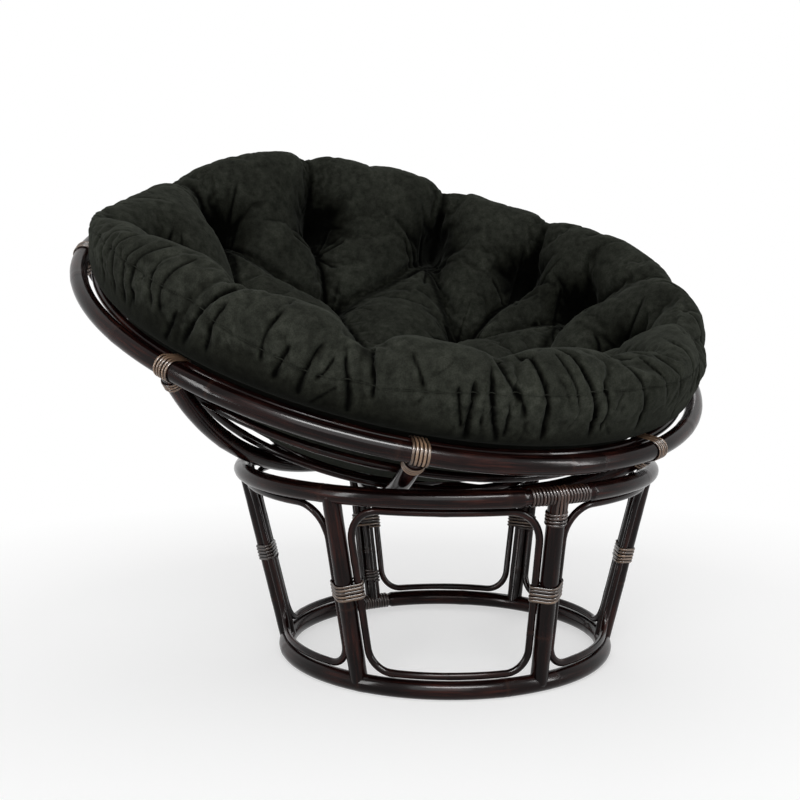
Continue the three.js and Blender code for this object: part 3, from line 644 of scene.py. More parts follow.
def ribbon(name, points, across, lift, outline, half_width, thickness, run, shade, material):
    """A flat strand along a line. Its outline goes from -1 to 1 across it and from 0 to 1 over it."""
    u, v = np.array(outline, float).T
    rings = (points[:, None] + across[:, None] * (half_width[:, None] * u)[..., None]
             + lift[:, None] * (thickness * v)[..., None])
    obj = skin(name, rings, False, material)
    attribute(obj, "grain", "FLOAT_VECTOR", np.stack(np.broadcast_arrays(
        (u * STRAND_WIDTH / 2)[None, :], 0 * u[None, :], run[:, None]), axis=-1))
    attribute(obj, "shade", "FLOAT", np.repeat(shade, len(u)))
    attribute(obj, "edge", "FLOAT", np.tile(np.abs(u), len(points)))
    return obj


def ring_frame(body, radius, height, azimuth):
    """For strand: the middle of a ring near one azimuth, and the directions across, over and along it."""
    place, turn = (in_bowl, BOWL_TURN.T) if body == "bowl" else (on_base, np.eye(3))

    def frame_at(travel):
        angle = azimuth + travel / radius
        ways = (polar(1.0, angle, 0.0), polar(0.0, angle, 1.0),
                np.stack([-np.cos(angle), np.sin(angle), 0 * angle], axis=1))
        return (place(polar(radius, angle, height)), *[way @ turn for way in ways])

    return frame_at


def strand(name, node, body, turns, poles, gap, frame_at, material, seed, steps=40, tone=0.5, loose=1.0):
    """One unbroken strand of peel wound round poles. frame_at(travel) gives the middle of the bundle
    and the directions across it, over it and along it, at each distance along the bundle."""
    rng = np.random.default_rng(seed)
    count = int(turns * steps) + 1
    turn_at = np.arange(count) / steps
    knots = 2 * int(turns) + 3

    def varied(low):
        """A value between low and 1 that changes with each half turn."""
        return np.interp(turn_at, np.arange(knots) / 2, rng.uniform(low, 1, knots))

    travel = (turn_at - turns / 2) * STRAND_PITCH + STRAND_WANDER * loose * varied(-1)
    at, out = bundle_loop(poles, TURN * turn_at - TURN / 4, gap)
    middle, across, over, along = frame_at(travel)
    base = middle + across * at[:, :1] + over * at[:, 1:]
    lift = unit(across * out[:, :1] + over * out[:, 1:])
    to_end = 2 - rise(turn_at, 0, STRAND_TAPER) - rise(turns - turn_at, 0, STRAND_TAPER)
    width = STRAND_WIDTH / 2 * (1 - 0.25 * to_end) * (0.93 + 0.07 * varied(-1))
    proud = STRAND_PROUD * varied(0)
    shade = tone + 0.22 * varied(-1)
    settle(ribbon(name, base + lift * proud[:, None], along, lift, STRAND_OUTLINE, width,
                  STRAND_THICKNESS, turn_at * 0.1 + seed, shade, material), node, body)


def ring_shape(angle, distance):
    """Radius and height in the bowl's frame at an angle from its pole."""
    return distance * math.sin(angle), -distance * math.cos(angle)


INNER_REACH = RIB_INSIDE - INNER_HOOP_ROD / 2
INNER_SPACING = (RIM_POLE + INNER_HOOP_ROD) / 2 + RIM_SLOT
INNER_ANGLE = RIM_ANGLE - math.acos(
    (RIB_ARC ** 2 + INNER_REACH ** 2 - INNER_SPACING ** 2) / (2 * RIB_ARC * INNER_REACH))
INNER_RADIUS, INNER_HEIGHT = ring_shape(INNER_ANGLE, INNER_REACH)


def build_bowl_hoops():
    hoop("rim_pole", "rim_hoop", "bowl", *ring_shape(RIM_ANGLE, RIB_ARC), RIM_POLE, 11, sides=24)
    hoop("inner_rim_rod", "inner_rim_hoop", "bowl", INNER_RADIUS, INNER_HEIGHT, INNER_HOOP_ROD, 12)
    hoop("hub_pole", "hub_ring", "bowl", *ring_shape(HUB_ANGLE, RIB_ARC), HUB_POLE, 13)
    for i, share in enumerate(BOWL_HOOP_SHARES):
        shape = ring_shape(share * RIM_ANGLE, RIB_INSIDE - BOWL_HOOP_ROD / 2)
        hoop(f"bowl_rod_{i + 1}", f"bowl_hoop_{i + 1}", "bowl", *shape, BOWL_HOOP_ROD, 14 + i)


def build_rib(i):
    start = HUB_ANGLE + 0.35 * HUB_POLE / RIB_ARC
    end = RIM_ANGLE - 0.3 * RIM_POLE / RIB_ARC
    angle = np.linspace(start, end, 140)
    points = in_bowl(polar(RIB_ARC * np.sin(angle), rib_azimuth(i), -RIB_ARC * np.cos(angle)))
    outward = unit(points - np.array(BOWL_CENTRE))
    pole(f"rib_pole_{i + 1}", f"rib_{i + 1}", "bowl", points, outward, RIB_POLE, False, 30 + i, sides=20)


def build_rim_lashing(i):
    """Strands over the rim's two hoops, and others round the rib's neck close under them."""
    azimuth = rib_azimuth(i)
    radius, height = ring_shape(RIM_ANGLE, RIB_ARC)
    poles = [(0.0, 0.0, RIM_POLE / 2), (INNER_RADIUS - radius, INNER_HEIGHT - height, INNER_HOOP_ROD / 2)]
    strand(f"rim_strands_{i + 1}", f"rim_lashing_{i + 1}", "bowl", RIM_TURNS, poles, BUNDLE_GAP,
           ring_frame("bowl", radius, height, azimuth), PEEL, 50 + i, tone=RIM_TONES[i])
    clear = RIM_POLE / 2 + NECK_CLEAR + STRAND_THICKNESS + NECK_TURNS * STRAND_PITCH / 2 + STRAND_WIDTH / 2

    def round_neck(travel):
        angle = RIM_ANGLE - (clear - travel) / RIB_ARC
        middle = polar(RIB_ARC * np.sin(angle), azimuth, -RIB_ARC * np.cos(angle))
        over = unit(middle)
        across = np.broadcast_to([-math.cos(azimuth), math.sin(azimuth), 0.0], over.shape)
        along = np.cross(over, across)
        return (in_bowl(middle), across @ BOWL_TURN.T, over @ BOWL_TURN.T, along @ BOWL_TURN.T)

    strand(f"neck_strands_{i + 1}", f"neck_lashing_{i + 1}", "bowl", NECK_TURNS,
           [(0.0, 0.0, RIB_POLE / 2)], POLE_GAP, round_neck, PEEL, 70 + i, tone=RIM_TONES[i])


LEG_LEAN = math.atan2(TOP_RING - BOTTOM_RING, TOP_HEIGHT - BOTTOM_HEIGHT)


def leg_radius(height):
    return BOTTOM_RING + (height - BOTTOM_HEIGHT) * math.tan(LEG_LEAN)


def leg_frame(i, height):
    """The middle of a leg at heights, and the directions across, over and along it. A leg stands a
    little askew where its foot and head are nudged apart."""
    foot = on_base(polar(BOTTOM_RING, foot_azimuth(i), BOTTOM_HEIGHT))
    head = on_base(polar(TOP_RING, head_azimuth(i), TOP_HEIGHT))
    along = unit(head - foot)
    middle = foot + along * ((height - foot[2]) / along[2])[:, None]
    out = unit((middle - np.array(BASE_AXIS)) * [1, 1, 0])
    over = unit(out - along * (out @ along)[:, None])
    return middle, np.cross(over, along), over, np.broadcast_to(along, middle.shape)


def splice_depth(splice_azimuth, turns, radius):
    """How far a base ring is cut back under the binding of its splice, by azimuth."""
    half = turns * STRAND_PITCH / 2 + STRAND_WIDTH

    def depth(azimuth):
        away = np.abs(np.arctan2(np.sin(azimuth - splice_azimuth), np.cos(azimuth - splice_azimuth))) * radius
        return SPLICE_REBATE * rise(half - away, -SPLICE_STEP, SPLICE_STEP)

    return depth


def build_base_ring(name, radius, height, azimuth, turns, seed):
    """A ring of the base and the binding of its splice."""
    depth = splice_depth(azimuth, turns, radius)
    hoop(f"{name}_ring_pole", f"base_{name}_ring", "base", radius, height, BASE_POLE, seed, depth, 24)
    strand(f"{name}_splice_strands", f"{name}_ring_lashing", "base", turns,
           [(0.0, 0.0, BASE_POLE / 2 - SPLICE_REBATE)], POLE_GAP,
           ring_frame("base", radius, height, azimuth), DARK_PEEL, 69 + seed)


def build_leg(i):
    """A leg runs into both rings, so that the coped joints show no end."""
    height = np.linspace(BOTTOM_HEIGHT, TOP_HEIGHT, 90)
    points, across, over, _ = leg_frame(i, height)
    pole(f"leg_pole_{i + 1}", f"leg_{i + 1}", "base", points, over, BASE_POLE, False, 24 + 3 * i, sides=20)


def bay_outline(middle, leg):
    """Half of a bay hoop beside one leg, from the middle of its foot to the middle of its head:
    distance along the base's wall from the bay's middle, and height."""
    def half(z):
        place = leg_frame(leg, z)[0] - np.array(BASE_AXIS)
        turned = np.arctan2(-place[:, 0], -place[:, 1]) - middle
        apart = np.abs(np.arctan2(np.sin(turned), np.cos(turned)))
        return (leg_radius(z) - BAY_INSET) * apart - BAY_TOUCH

    def corner(radius, end, inwards):
        angle = np.linspace(0, TURN / 4, 13)
        z = end + inwards * radius * (1 - np.sin(angle))
        return np.stack([half(z) - radius * (1 - np.cos(angle)), z], axis=1)

    lower = corner(BAY_FOOT_CORNER, BAY_LOW, 1)[::-1]
    upper = corner(BAY_HEAD_CORNER, BAY_HIGH, -1)
    z = np.linspace(BAY_LOW + BAY_FOOT_CORNER, BAY_HIGH - BAY_HEAD_CORNER, 34)[1:-1]
    wall = np.stack([half(z), z], axis=1)
    foot = np.stack([np.linspace(0, lower[0, 0], 14)[:-1], np.full(13, BAY_LOW)], axis=1)
    head = np.stack([np.linspace(upper[-1, 0], 0, 14)[1:], np.full(13, BAY_HIGH)], axis=1)
    return np.vstack([foot, lower, wall, upper, head])


def build_bay_hoop(i):
    middle = leg_place(i + 0.5)
    left = bay_outline(middle, i)[1:-1][::-1] * [-1, 1]
    path = np.vstack([bay_outline(middle, i + 1), left])
    radius = leg_radius(path[:, 1]) - BAY_INSET
    place = middle + path[:, 0] / radius
    points = on_base(polar(radius, place, path[:, 1]))
    pole(f"bay_rod_{i + 1}", f"bay_hoop_{i + 1}", "base", points, polar(1.0, place, 0.0), BAY_ROD, True,
         60 + i, sides=14)


def build_leg_lashing(i):
    """Strands round a leg and the two rods beside it, at the places that the rods have there."""
    height = (BAY_LOW + BAY_HIGH) / 2
    (middle,), (across,), (over,), _ = leg_frame(i, np.array([height]))
    place = middle - np.array(BASE_AXIS)
    azimuth = math.atan2(-place[0], -place[1])
    wall = leg_radius(height) - BAY_INSET
    poles = [(0.0, 0.0, BASE_POLE / 2)]
    for side in (-1, 1):
        rod = on_base(polar(wall, azimuth + side * BAY_TOUCH / wall, height)) - middle
        poles.append((rod @ across, rod @ over, BAY_ROD / 2))
    strand(f"leg_strands_{i + 1}", f"leg_lashing_{i + 1}", "base", LEG_TURNS, poles, BUNDLE_GAP,
           lambda travel: leg_frame(i, height + travel * math.cos(LEG_LEAN)),
           PEEL, 100 + i, steps=60, tone=LEG_TONES[i], loose=1.6)


def build_pole_lashing(name, node, leg, height, seed):
    strand(name, node, "base", POLE_TURNS, [(0.0, 0.0, BASE_POLE / 2)], POLE_GAP,
           lambda travel: leg_frame(leg, height + travel * math.cos(LEG_LEAN)), DARK_PEEL, seed)


def build_saddle():
    """Short strands laid over the top ring's splice and down the head of the leg under it, where the
    band holds their ends."""
    centre = on_base(polar(TOP_RING, head_azimuth(TOP_SPLICE_LEG), TOP_HEIGHT))
    _, (across,), (over,), (along,) = leg_frame(TOP_SPLICE_LEG, np.array([TOP_HEIGHT]))
    on_ring = BASE_POLE / 2 - SPLICE_REBATE + STRAND_THICKNESS + SADDLE_GAP
    bend = np.linspace(SADDLE_START, 0, 26)
    down = np.linspace(0, SADDLE_DROP, 16)[1:]
    settled = rise(down, 0, SADDLE_SETTLE)
    steps = len(bend) + len(down)
    rng = np.random.default_rng(7)
    for k in range(SADDLE_STRANDS):
        offset = (k - (SADDLE_STRANDS - 1) / 2) * STRAND_PITCH
        on_leg = math.sqrt((BASE_POLE / 2 + POLE_GAP) ** 2 - offset ** 2)
        out = np.concatenate([on_ring * np.cos(bend), on_ring + (on_leg - on_ring) * settled])
        up = np.concatenate([on_ring * np.sin(bend), -down])
        sway = offset + SADDLE_SWAY * np.interp(np.arange(steps), [0, 10, 20, 30, 40], rng.uniform(-1, 1, 5))
        points = centre + out[:, None] * over + up[:, None] * along + sway[:, None] * across
        lean = np.concatenate([0 * bend, settled]) * offset / on_leg
        lift = unit(np.concatenate([np.cos(bend), 1 + 0 * down])[:, None] * over
                    + np.concatenate([np.sin(bend), 0 * down])[:, None] * along + lean[:, None] * across)
        side = unit(across - np.sum(lift * across, axis=1, keepdims=True) * lift)
        shade = np.full(steps, rng.uniform(0.55, 1.0))
        obj = ribbon(f"saddle_strand_{k + 1}", points, side, lift, SADDLE_OUTLINE,
                     np.full(steps, STRAND_WIDTH / 2), SADDLE_THICKNESS, np.arange(steps) * 0.05 + k, shade,
                     DARK_PEEL)
        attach(obj, "base")


def build_base():
    build_base_ring("top", TOP_RING, TOP_HEIGHT, head_azimuth(TOP_SPLICE_LEG), TOP_SPLICE_TURNS, 21)
    build_base_ring("bottom", BOTTOM_RING, BOTTOM_HEIGHT, foot_azimuth(BOTTOM_SPLICE_LEG),
                    BOTTOM_SPLICE_TURNS, 22)
    build_saddle()
    for i in range(LEG_COUNT):
        build_leg(i)
        build_bay_hoop(i)
        build_leg_lashing(i)
    room = BASE_POLE / 2 + FIT + (POLE_TURNS + 1) * STRAND_PITCH / 2 + STRAND_WIDTH
    build_pole_lashing("leg_head_strands", "leg_head_lashing", TOP_SPLICE_LEG, TOP_HEIGHT - room, 110)
    build_pole_lashing("leg_foot_strands", "leg_foot_lashing", BOTTOM_SPLICE_LEG, BASE_POLE + room, 111)


def build_bowl():
    build_bowl_hoops()
    for i in range(RIB_COUNT):
        build_rib(i)
        build_rim_lashing(i)


def smooth_wave(knots, azimuth):
    """A value given at a few azimuths in degrees, as a smooth periodic curve."""
    places = np.array([k for k, _ in knots], float)
    values = np.array([v for _, v in knots], float)
    steps = np.linspace(0, 360, 720, endpoint=False)
    curve = np.interp(steps, places, values)
    window = np.exp(-(np.arange(-12, 13) / 5.0) ** 2)
    padded = np.concatenate([curve[-12:], curve, curve[:12]])
    curve = np.convolve(padded, window / window.sum(), "valid")
    return np.interp(np.degrees(azimuth) % 360, np.append(steps, 360), np.append(curve, curve[0]))


def plane_point(radius, azimuth):
    return np.array([-radius * math.sin(azimuth * DEGREE), -radius * math.cos(azimuth * DEGREE)])


def crease_lines():
    """Sewn creases and tufts in the plane of the rim. A crease is a straight line: its two ends, and its
    depth at the tuft, at the crest and at the seam. The outer tufts come first, the middle one last."""
    outer = [plane_point(OUTER_TUFT_RADIUS, tuft) for tuft, _, _, _ in CREASES]
    inner = [plane_point(INNER_TUFT_RADIUS, a) for a in INNER_TUFT_AZIMUTHS]
    lines = []
    for tuft, (_, edge, crest, seam) in zip(outer, CREASES):
        depth = min(OUTER_CREASE[1], OUTER_CREASE[0] + crest / 1000)
        end = plane_point(CUSHION_RADIUS + CREASE_OVERRUN, edge)
        lines.append((tuft, end, depth, crest / 1000, seam / 1000))
    for k, tuft in enumerate(inner):
        for end, depth in ((outer[2 * k], AHEAD_CREASE), (outer[2 * k - 1], BESIDE_CREASE),
                           (outer[2 * k + 1], BESIDE_CREASE), (np.zeros(2), MIDDLE_CREASE)):
            lines.append((tuft, end, depth, 0, 0))
    return lines, outer + inner + [np.zeros(2)]


CREASE_LINES, TUFTS = crease_lines()


def to_segment(points, a, b):
    along = b - a
    share = np.clip((points - a) @ along / (along @ along), 0, 1)
    return np.linalg.norm(points - a - share[:, None] * along, axis=1)


def pit_size(k):
    return OUTER_PIT if k < len(CREASES) else INNER_PIT


def cushion_pull(flat):
    """How far creases and tufts pull the cushion's upper side in, for points of the rim's plane."""
    radius = np.linalg.norm(flat, axis=1)
    pull = np.zeros(len(flat))
    for a, b, at_tuft, at_crest, at_seam in CREASE_LINES:
        depth = at_tuft
        if np.linalg.norm(b) > CUSHION_RADIUS:
            depth = np.interp(radius, CREASE_RADII,
                              [at_tuft, 0.4 * at_tuft + 0.6 * at_crest, at_crest, at_seam])
        away = to_segment(flat, a, b)
        shape = 1 - (1 - np.clip(1 - away / CREASE_REACH, 0, 1) ** 2.4) ** 0.8
        pull = np.maximum(pull, depth * shape)
    for k, place in enumerate(TUFTS):
        depth, wide, _ = pit_size(k)
        pull = pull + depth * np.exp(-(np.linalg.norm(flat - place, axis=1) / wide) ** 1.5)
    return np.minimum(pull, DEEPEST_PULL)


def rounded_line(points):
    """A line through a few points with its corners cut twice."""
    line = np.array(points, float)
    for _ in range(2):
        inner = np.stack([0.75 * line[:-1] + 0.25 * line[1:], 0.25 * line[:-1] + 0.75 * line[1:]], axis=1)
        line = np.vstack([line[:1], inner.reshape(-1, 2), line[-1:]])
    return line


def groove(places, line, width):
    """The shape of a fold along a line: 1 at its sharp bottom, a little proud beside it, and fading out
    at both ends."""
    low, high = line.min(axis=0) - 3 * width, line.max(axis=0) + 3 * width
    near = np.nonzero(np.all((places > low) & (places < high), axis=1))[0]
    chosen = places[near]
    best = np.full(len(near), np.inf)
    reached = np.zeros(len(near))
    starts = arc_length(line)
    for a, b, start in zip(line[:-1], line[1:], starts):
        step = b - a
        share = np.clip((chosen - a) @ step / (step @ step), 0, 1)
        away = np.linalg.norm(chosen - a - share[:, None] * step, axis=1)
        nearer = away < best
        best[nearer] = away[nearer]
        reached[nearer] = start + share[nearer] * np.linalg.norm(step)
    share = reached / starts[-1]
    fade = np.clip(5 * np.minimum(share, 1 - share), 0, 1)
    apart = best / width
    shape = np.clip(1 - apart, 0, None) ** 2 - 0.14 * np.exp(-((apart - 1.5) / 0.45) ** 2)
    return near, smoothed(fade) * shape


def round_places(local):
    """Radius, azimuth and height over the rim's plane, of points in the bowl's frame."""
    azimuth = np.arctan2(-local[:, 0], -local[:, 1]) % TURN
    return np.linalg.norm(local[:, :2], axis=1), azimuth, local[:, 2] + RIM_DEPTH


def smoothed(share):
    return share * share * (3 - 2 * share)


def side_places(local):
    """Points of the cushion as places on its side: length round it, and height as in FOLDS."""
    radius, azimuth, height = round_places(local)
    crest = smooth_wave(CREST_BY_AZIMUTH, azimuth) / 1000 / CREST_HEIGHT
    even = np.where(height > SIDE_FOOT, (height + SIDE_FOOT * (crest - 1)) / crest, height)
    inside = (radius < CREST_RADIUS) & (height > SIDE_FOOT)
    even = np.where(inside, CREST_HEIGHT + CREST_RADIUS - radius, even)
    return np.stack([azimuth * CREST_RADIUS, even], axis=1)


def cushion_folds(local):
    """How far the folds, the fine wrinkles, the seam and the gathers at the tufts pull the cover in."""
    rng = np.random.default_rng(5)
    places = side_places(local)
    round_trip = np.array([TURN * CREST_RADIUS, 0])
    folds = list(FOLDS)
    for _ in range(FINE_WRINKLES):
        at, middle, half = (rng.uniform(*ends) for ends in ((0, 360), WRINKLE_HEIGHT, WRINKLE_HALF))
        lean, bend = rng.normal(0, WRINKLE_LEAN), rng.normal(0, WRINKLE_BEND)
        line = ((at - lean, middle - half), (at + bend, middle), (at + lean, middle + half))
        folds.append((rng.uniform(*WRINKLE_DEPTH), rng.uniform(*WRINKLE_WIDTH), line))
    pull = np.zeros(len(local))
    for depth, width, line in folds:
        line = rounded_line(line) * [DEGREE * CREST_RADIUS, 0.001]
        for moved in (line - round_trip, line, line + round_trip):
            near, shape = groove(places, moved, width / 1000)
            pull[near] += depth / 1000 * shape
    seam = smooth_wave(SEAM_BY_AZIMUTH, places[:, 0] / CREST_RADIUS) / 1000
    radius, _, height = round_places(local)
    beside = np.abs(height - seam) / SEAM_WIDTH
    pull += np.where(radius > CREST_RADIUS, SEAM_DEPTH * np.clip(1 - beside, 0, None) ** 1.5, 0)
    for tuft in TUFTS:
        count = rng.integers(6, 10)
        for k in range(count):
            turned = TURN * (k + rng.uniform(-0.3, 0.3)) / count
            reach = rng.uniform(*GATHER_REACH)
            ways = [np.array([math.cos(a), math.sin(a)]) for a in (turned, turned + rng.normal(0, 0.25))]
            line = rounded_line((tuft, tuft + 0.5 * reach * ways[0], tuft + reach * ways[1]))
            near, shape = groove(local[:, :2], line, rng.uniform(*GATHER_WIDTH))
            pull[near] += rng.uniform(*GATHER_DEPTH) * shape
    return pull


def side_profile(profile):
    """A profile at even steps along its length, rounded a little: radii and heights in metres."""
    profile = np.array(profile) / 1000
    along = arc_length(profile)
    steps = np.linspace(0, along[-1], SIDE_ROWS)
    r = np.interp(steps, along, profile[:, 0])
    u = np.interp(steps, along, profile[:, 1])
    for _ in range(3):
        r[1:-1] = (r[:-2] + 2 * r[1:-1] + r[2:]) / 4
        u[1:-1] = (u[:-2] + 2 * u[1:-1] + u[2:]) / 4
    return r, u


def cushion_surface(spokes, shrink):
    """Rings of points over the cushion, from its middle on top, over the seam, to its middle below, and
    the mouths and bottoms of its pits."""
    azimuth = TURN * np.arange(spokes) / spokes
    round_r, round_u = side_profile(CUSHION_PROFILE)
    wedge_r, wedge_u = side_profile(WEDGE_PROFILE)
    off = (np.degrees(azimuth) - WEDGE_AZIMUTH + 180) % 360 - 180
    wedge = np.exp(-(off / WEDGE_REACH) ** 2)[None, :]
    r = round_r[:, None] * (1 - wedge) + wedge_r[:, None] * wedge
    u = round_u[:, None] * (1 - wedge) + wedge_u[:, None] * wedge
    crest = smooth_wave(CREST_BY_AZIMUTH, azimuth) / 1000
    turned = (np.degrees(azimuth) - SHOULDER_AZIMUTH + 180) % 360 - 180
    lean = np.interp(u * 1000, *zip(*SHOULDER_PROFILE)) / 1000 * rise(r, *SHOULDER_RISE)
    r = r - lean * np.exp(-(turned / SHOULDER_REACH) ** 2)[None, :]
    share = smoothed(rise(r, *CREST_RISE))
    height = u + np.clip(u - SIDE_FOOT, 0, None) * (crest / CREST_HEIGHT - 1)[None, :] * share
    azimuths = np.repeat(azimuth[None, :], SIDE_ROWS, axis=0)
    tangent = np.stack([np.gradient(r, axis=0), np.gradient(height, axis=0)], axis=-1)
    normal = unit(np.stack([-tangent[..., 1], tangent[..., 0]], axis=-1))
    flat = np.stack([-r * np.sin(azimuths), -r * np.cos(azimuths)], axis=-1).reshape(-1, 2)
    pull = cushion_pull(flat).reshape(r.shape)
    pull = pull * np.where(r < SIDE_RADIUS, 1.0, rise(u, SIDE_FOOT, SIDE_RISE))
    plain = polar(r, azimuths, height - RIM_DEPTH)
    inward = pull + shrink
    radius = r - inward * normal[..., 0]
    height = height - inward * normal[..., 1]
    rings = polar(radius, azimuths, height - RIM_DEPTH)
    pits = []
    for place in TUFTS:
        nearest = np.argmin(np.linalg.norm(flat - place, axis=1))
        pits.append((plain.reshape(-1, 3)[nearest], rings.reshape(-1, 3)[nearest]))
    tuck = math.asin(UNDERSIDE_EDGE / UNDERSIDE)
    reach = UNDERSIDE - shrink
    below = [polar(reach * math.sin(angle), azimuth, -reach * math.cos(angle))
             for angle in np.linspace(tuck, UNDERSIDE_END, UNDERSIDE_ROWS)]
    return np.concatenate([rings[1:], np.array(below)], axis=0), pits


def cushion_mesh(name, spokes, shrink):
    rings, pits = cushion_surface(spokes, shrink)
    count = len(rings)
    points = np.concatenate([rings.reshape(-1, 3), rings[0].mean(axis=0)[None], rings[-1].mean(axis=0)[None]])
    faces = []
    for j in range(spokes):
        k = (j + 1) % spokes
        faces.append((count * spokes, k, j))
        last = (count - 1) * spokes
        faces.append((count * spokes + 1, last + j, last + k))
    return mesh_object(name, in_bowl(points), faces + tube_faces(count, spokes, False), SUEDE), pits


def apply_modifiers(obj):
    depsgraph = bpy.context.evaluated_depsgraph_get()
    mesh = bpy.data.meshes.new_from_object(obj.evaluated_get(depsgraph))
    old = obj.data
    obj.modifiers.clear()
    obj.data = mesh
    bpy.data.meshes.remove(old)


def coordinates(obj, what="co"):
    flat = np.empty(len(obj.data.vertices) * 3, np.float64)
    obj.data.vertices.foreach_get(what, flat)
    return flat.reshape(-1, 3)


def to_bowl(points):
    return (points - np.array(BOWL_CENTRE)) @ BOWL_TURN


def inflate(obj, pits):
    """Cloth under a little pressure, held at its creases, its tufts and its underside."""
    before = coordinates(obj)
    local = to_bowl(before)
    flat = local[:, :2]
    radius, _, height = round_places(local)
    hold = np.zeros(len(flat))
    for a, b, at_tuft, at_crest, _ in CREASE_LINES:
        strength = min(1.0, HOLD_PER_DEPTH * at_tuft)
        if np.linalg.norm(b) > CUSHION_RADIUS:
            strength = np.interp(radius, HOLD_RADII, [strength, min(1.0, HOLD_PER_CREST_DEPTH * at_crest)])
        hold = np.maximum(hold, strength * np.exp(-(to_segment(flat, a, b) / CREASE_HOLD) ** 2))
    for _, bottom in pits:
        hold = np.maximum(hold, np.exp(-(np.linalg.norm(local - bottom, axis=1) / PIT_HOLD) ** 2))
    reach = np.linalg.norm(local, axis=1)
    foot = (height < SIDE_FOOT - FOOT_HOLD) & (radius > SIDE_RADIUS)
    hold[hold < HOLD_LEAST] = 0
    hold[(reach > UNDERSIDE - SWELL - UNDERSIDE_HOLD) | foot] = 1
    group = obj.vertex_groups.new(name="hold")
    for level in HOLD_LEVELS:
        chosen = np.nonzero((hold > level - HOLD_STEP) & (hold <= level))[0]
        group.add([int(i) for i in chosen], level, "REPLACE")
    cloth = obj.modifiers.new("cloth", "CLOTH")
    for name, value in CLOTH_SETTINGS.items():
        setattr(cloth.settings, name, value)
    cloth.settings.vertex_group_mass = "hold"
    cloth.settings.effector_weights.gravity = 0
    cloth.collision_settings.use_collision = False
    cloth.point_cache.frame_start = 1
    cloth.point_cache.frame_end = CLOTH_FRAMES
    for number in range(1, CLOTH_FRAMES + 1):
        bpy.context.scene.frame_set(number)
    apply_modifiers(obj)
    bpy.context.scene.frame_set(1)
    after = coordinates(obj)
    move = after - before
    length = np.linalg.norm(move, axis=1, keepdims=True)
    move = move * np.minimum(1, CLOTH_CAP / np.maximum(length, 1e-9))
    print("cloth moved at most", round(float(length.max()) * 1000, 1), "mm, on average",
          round(float(length.mean()) * 1000, 1), "mm")
    obj.data.vertices.foreach_set("co", (before + move).ravel())


def fold(obj):
    """Presses folds, wrinkles and the seam into the simulated cover, and returns how deep."""
    points = coordinates(obj)
    local = to_bowl(points)
    free = np.maximum(rise(UNDERSIDE - np.linalg.norm(local, axis=1), *FOLDS_OVER_UNDERSIDE),
                      rise(local[:, 2] + RIM_DEPTH, *FOLDS_OVER_RIM))
    inward = cushion_folds(local) * free
    obj.data.vertices.foreach_set("co", (points - coordinates(obj, "normal") * inward[:, None]).ravel())
    obj.data.update()
    print("cushion has", len(points), "points")
    return inward


def shaded_places(local, pits):
    """How much shade is painted on the cover from above: in its pits, along its creases and at the foot of
    its side.
    """
    flat = local[:, :2]
    radius, azimuth, height = round_places(local)
    dark = np.zeros(len(flat))
    for a, b, at_tuft, at_crest, at_seam in CREASE_LINES:
        depth = at_tuft
        if np.linalg.norm(b) > CUSHION_RADIUS:
            depth = np.interp(radius, CREASE_SHADE_RADII, [at_tuft, at_crest, at_seam])
        shade = np.clip(SHADE_PER_DEPTH * depth, 0, 0.8)
        dark = np.maximum(dark, shade * np.exp(-(to_segment(flat, a, b) / CREASE_SHADE) ** 2))
    for k, (mouth, bottom) in enumerate(pits):
        away = to_segment(local, mouth + 0.4 * (bottom - mouth), bottom)
        dark += PIT_SHADE * np.exp(-(away / pit_size(k)[2]) ** 2)
    above = rise(UNDERSIDE - np.linalg.norm(local, axis=1), *SHADE_OVER_UNDERSIDE)
    more, middle, spread = FOOT_SHADE_LEFT
    tall = FOOT_SHADE + more * np.exp(-((np.degrees(azimuth) - middle) / spread) ** 2)
    foot = (1 - rise(height, FOOT_LOW, tall - FOOT_LOW)) * rise(radius, *FOOT_RISE)
    return dark * above + 1.4 * foot ** 1.2


def evened(points, edges, rounds):
    """Points drawn to the middle of their neighbours, again and again."""
    count = len(points)
    share = np.bincount(edges.ravel(), minlength=count)[:, None]
    for _ in range(rounds):
        total = np.stack([np.bincount(edges[:, 0], points[edges[:, 1], k], count)
                          + np.bincount(edges[:, 1], points[edges[:, 0], k], count)
                          for k in range(3)], axis=1)
        points = 0.5 * points + 0.5 * total / share
    return points


def paint_light_and_shade(obj, inward, pits):
    """Writes the light and shade painted on the cover at each point, from -1, painted light on a ridge, to 1,
    painted shade deep in a crease.
    """
    points = coordinates(obj)
    edges = np.empty(len(obj.data.edges) * 2, np.int32)
    obj.data.edges.foreach_get("vertices", edges)
    edges = edges.reshape(-1, 2)
    normals = coordinates(obj, "normal")
    narrow = evened(points, edges, SMALL_ROUNDS)
    wide = evened(narrow, edges, LARGE_ROUNDS)
    # Painted light on ridges and painted shade in small and large hollows, in the folds, and in the pits,
    # creases and foot
    small = np.sum((narrow - points) * normals, axis=1) / SMALL_HOLLOW
    large = np.sum((wide - narrow) * normals, axis=1) / LARGE_HOLLOW
    painted_light_and_shade = 0.55 * np.clip(small, -1, 1.2) + 0.6 * np.clip(large, -1, 1.2)
    painted_light_and_shade += 0.75 * rise(inward, 0, DARK_FOLD) + shaded_places(to_bowl(points), pits)
    attribute(obj, "painted_light_and_shade", "FLOAT", np.clip(painted_light_and_shade, -1, 1))


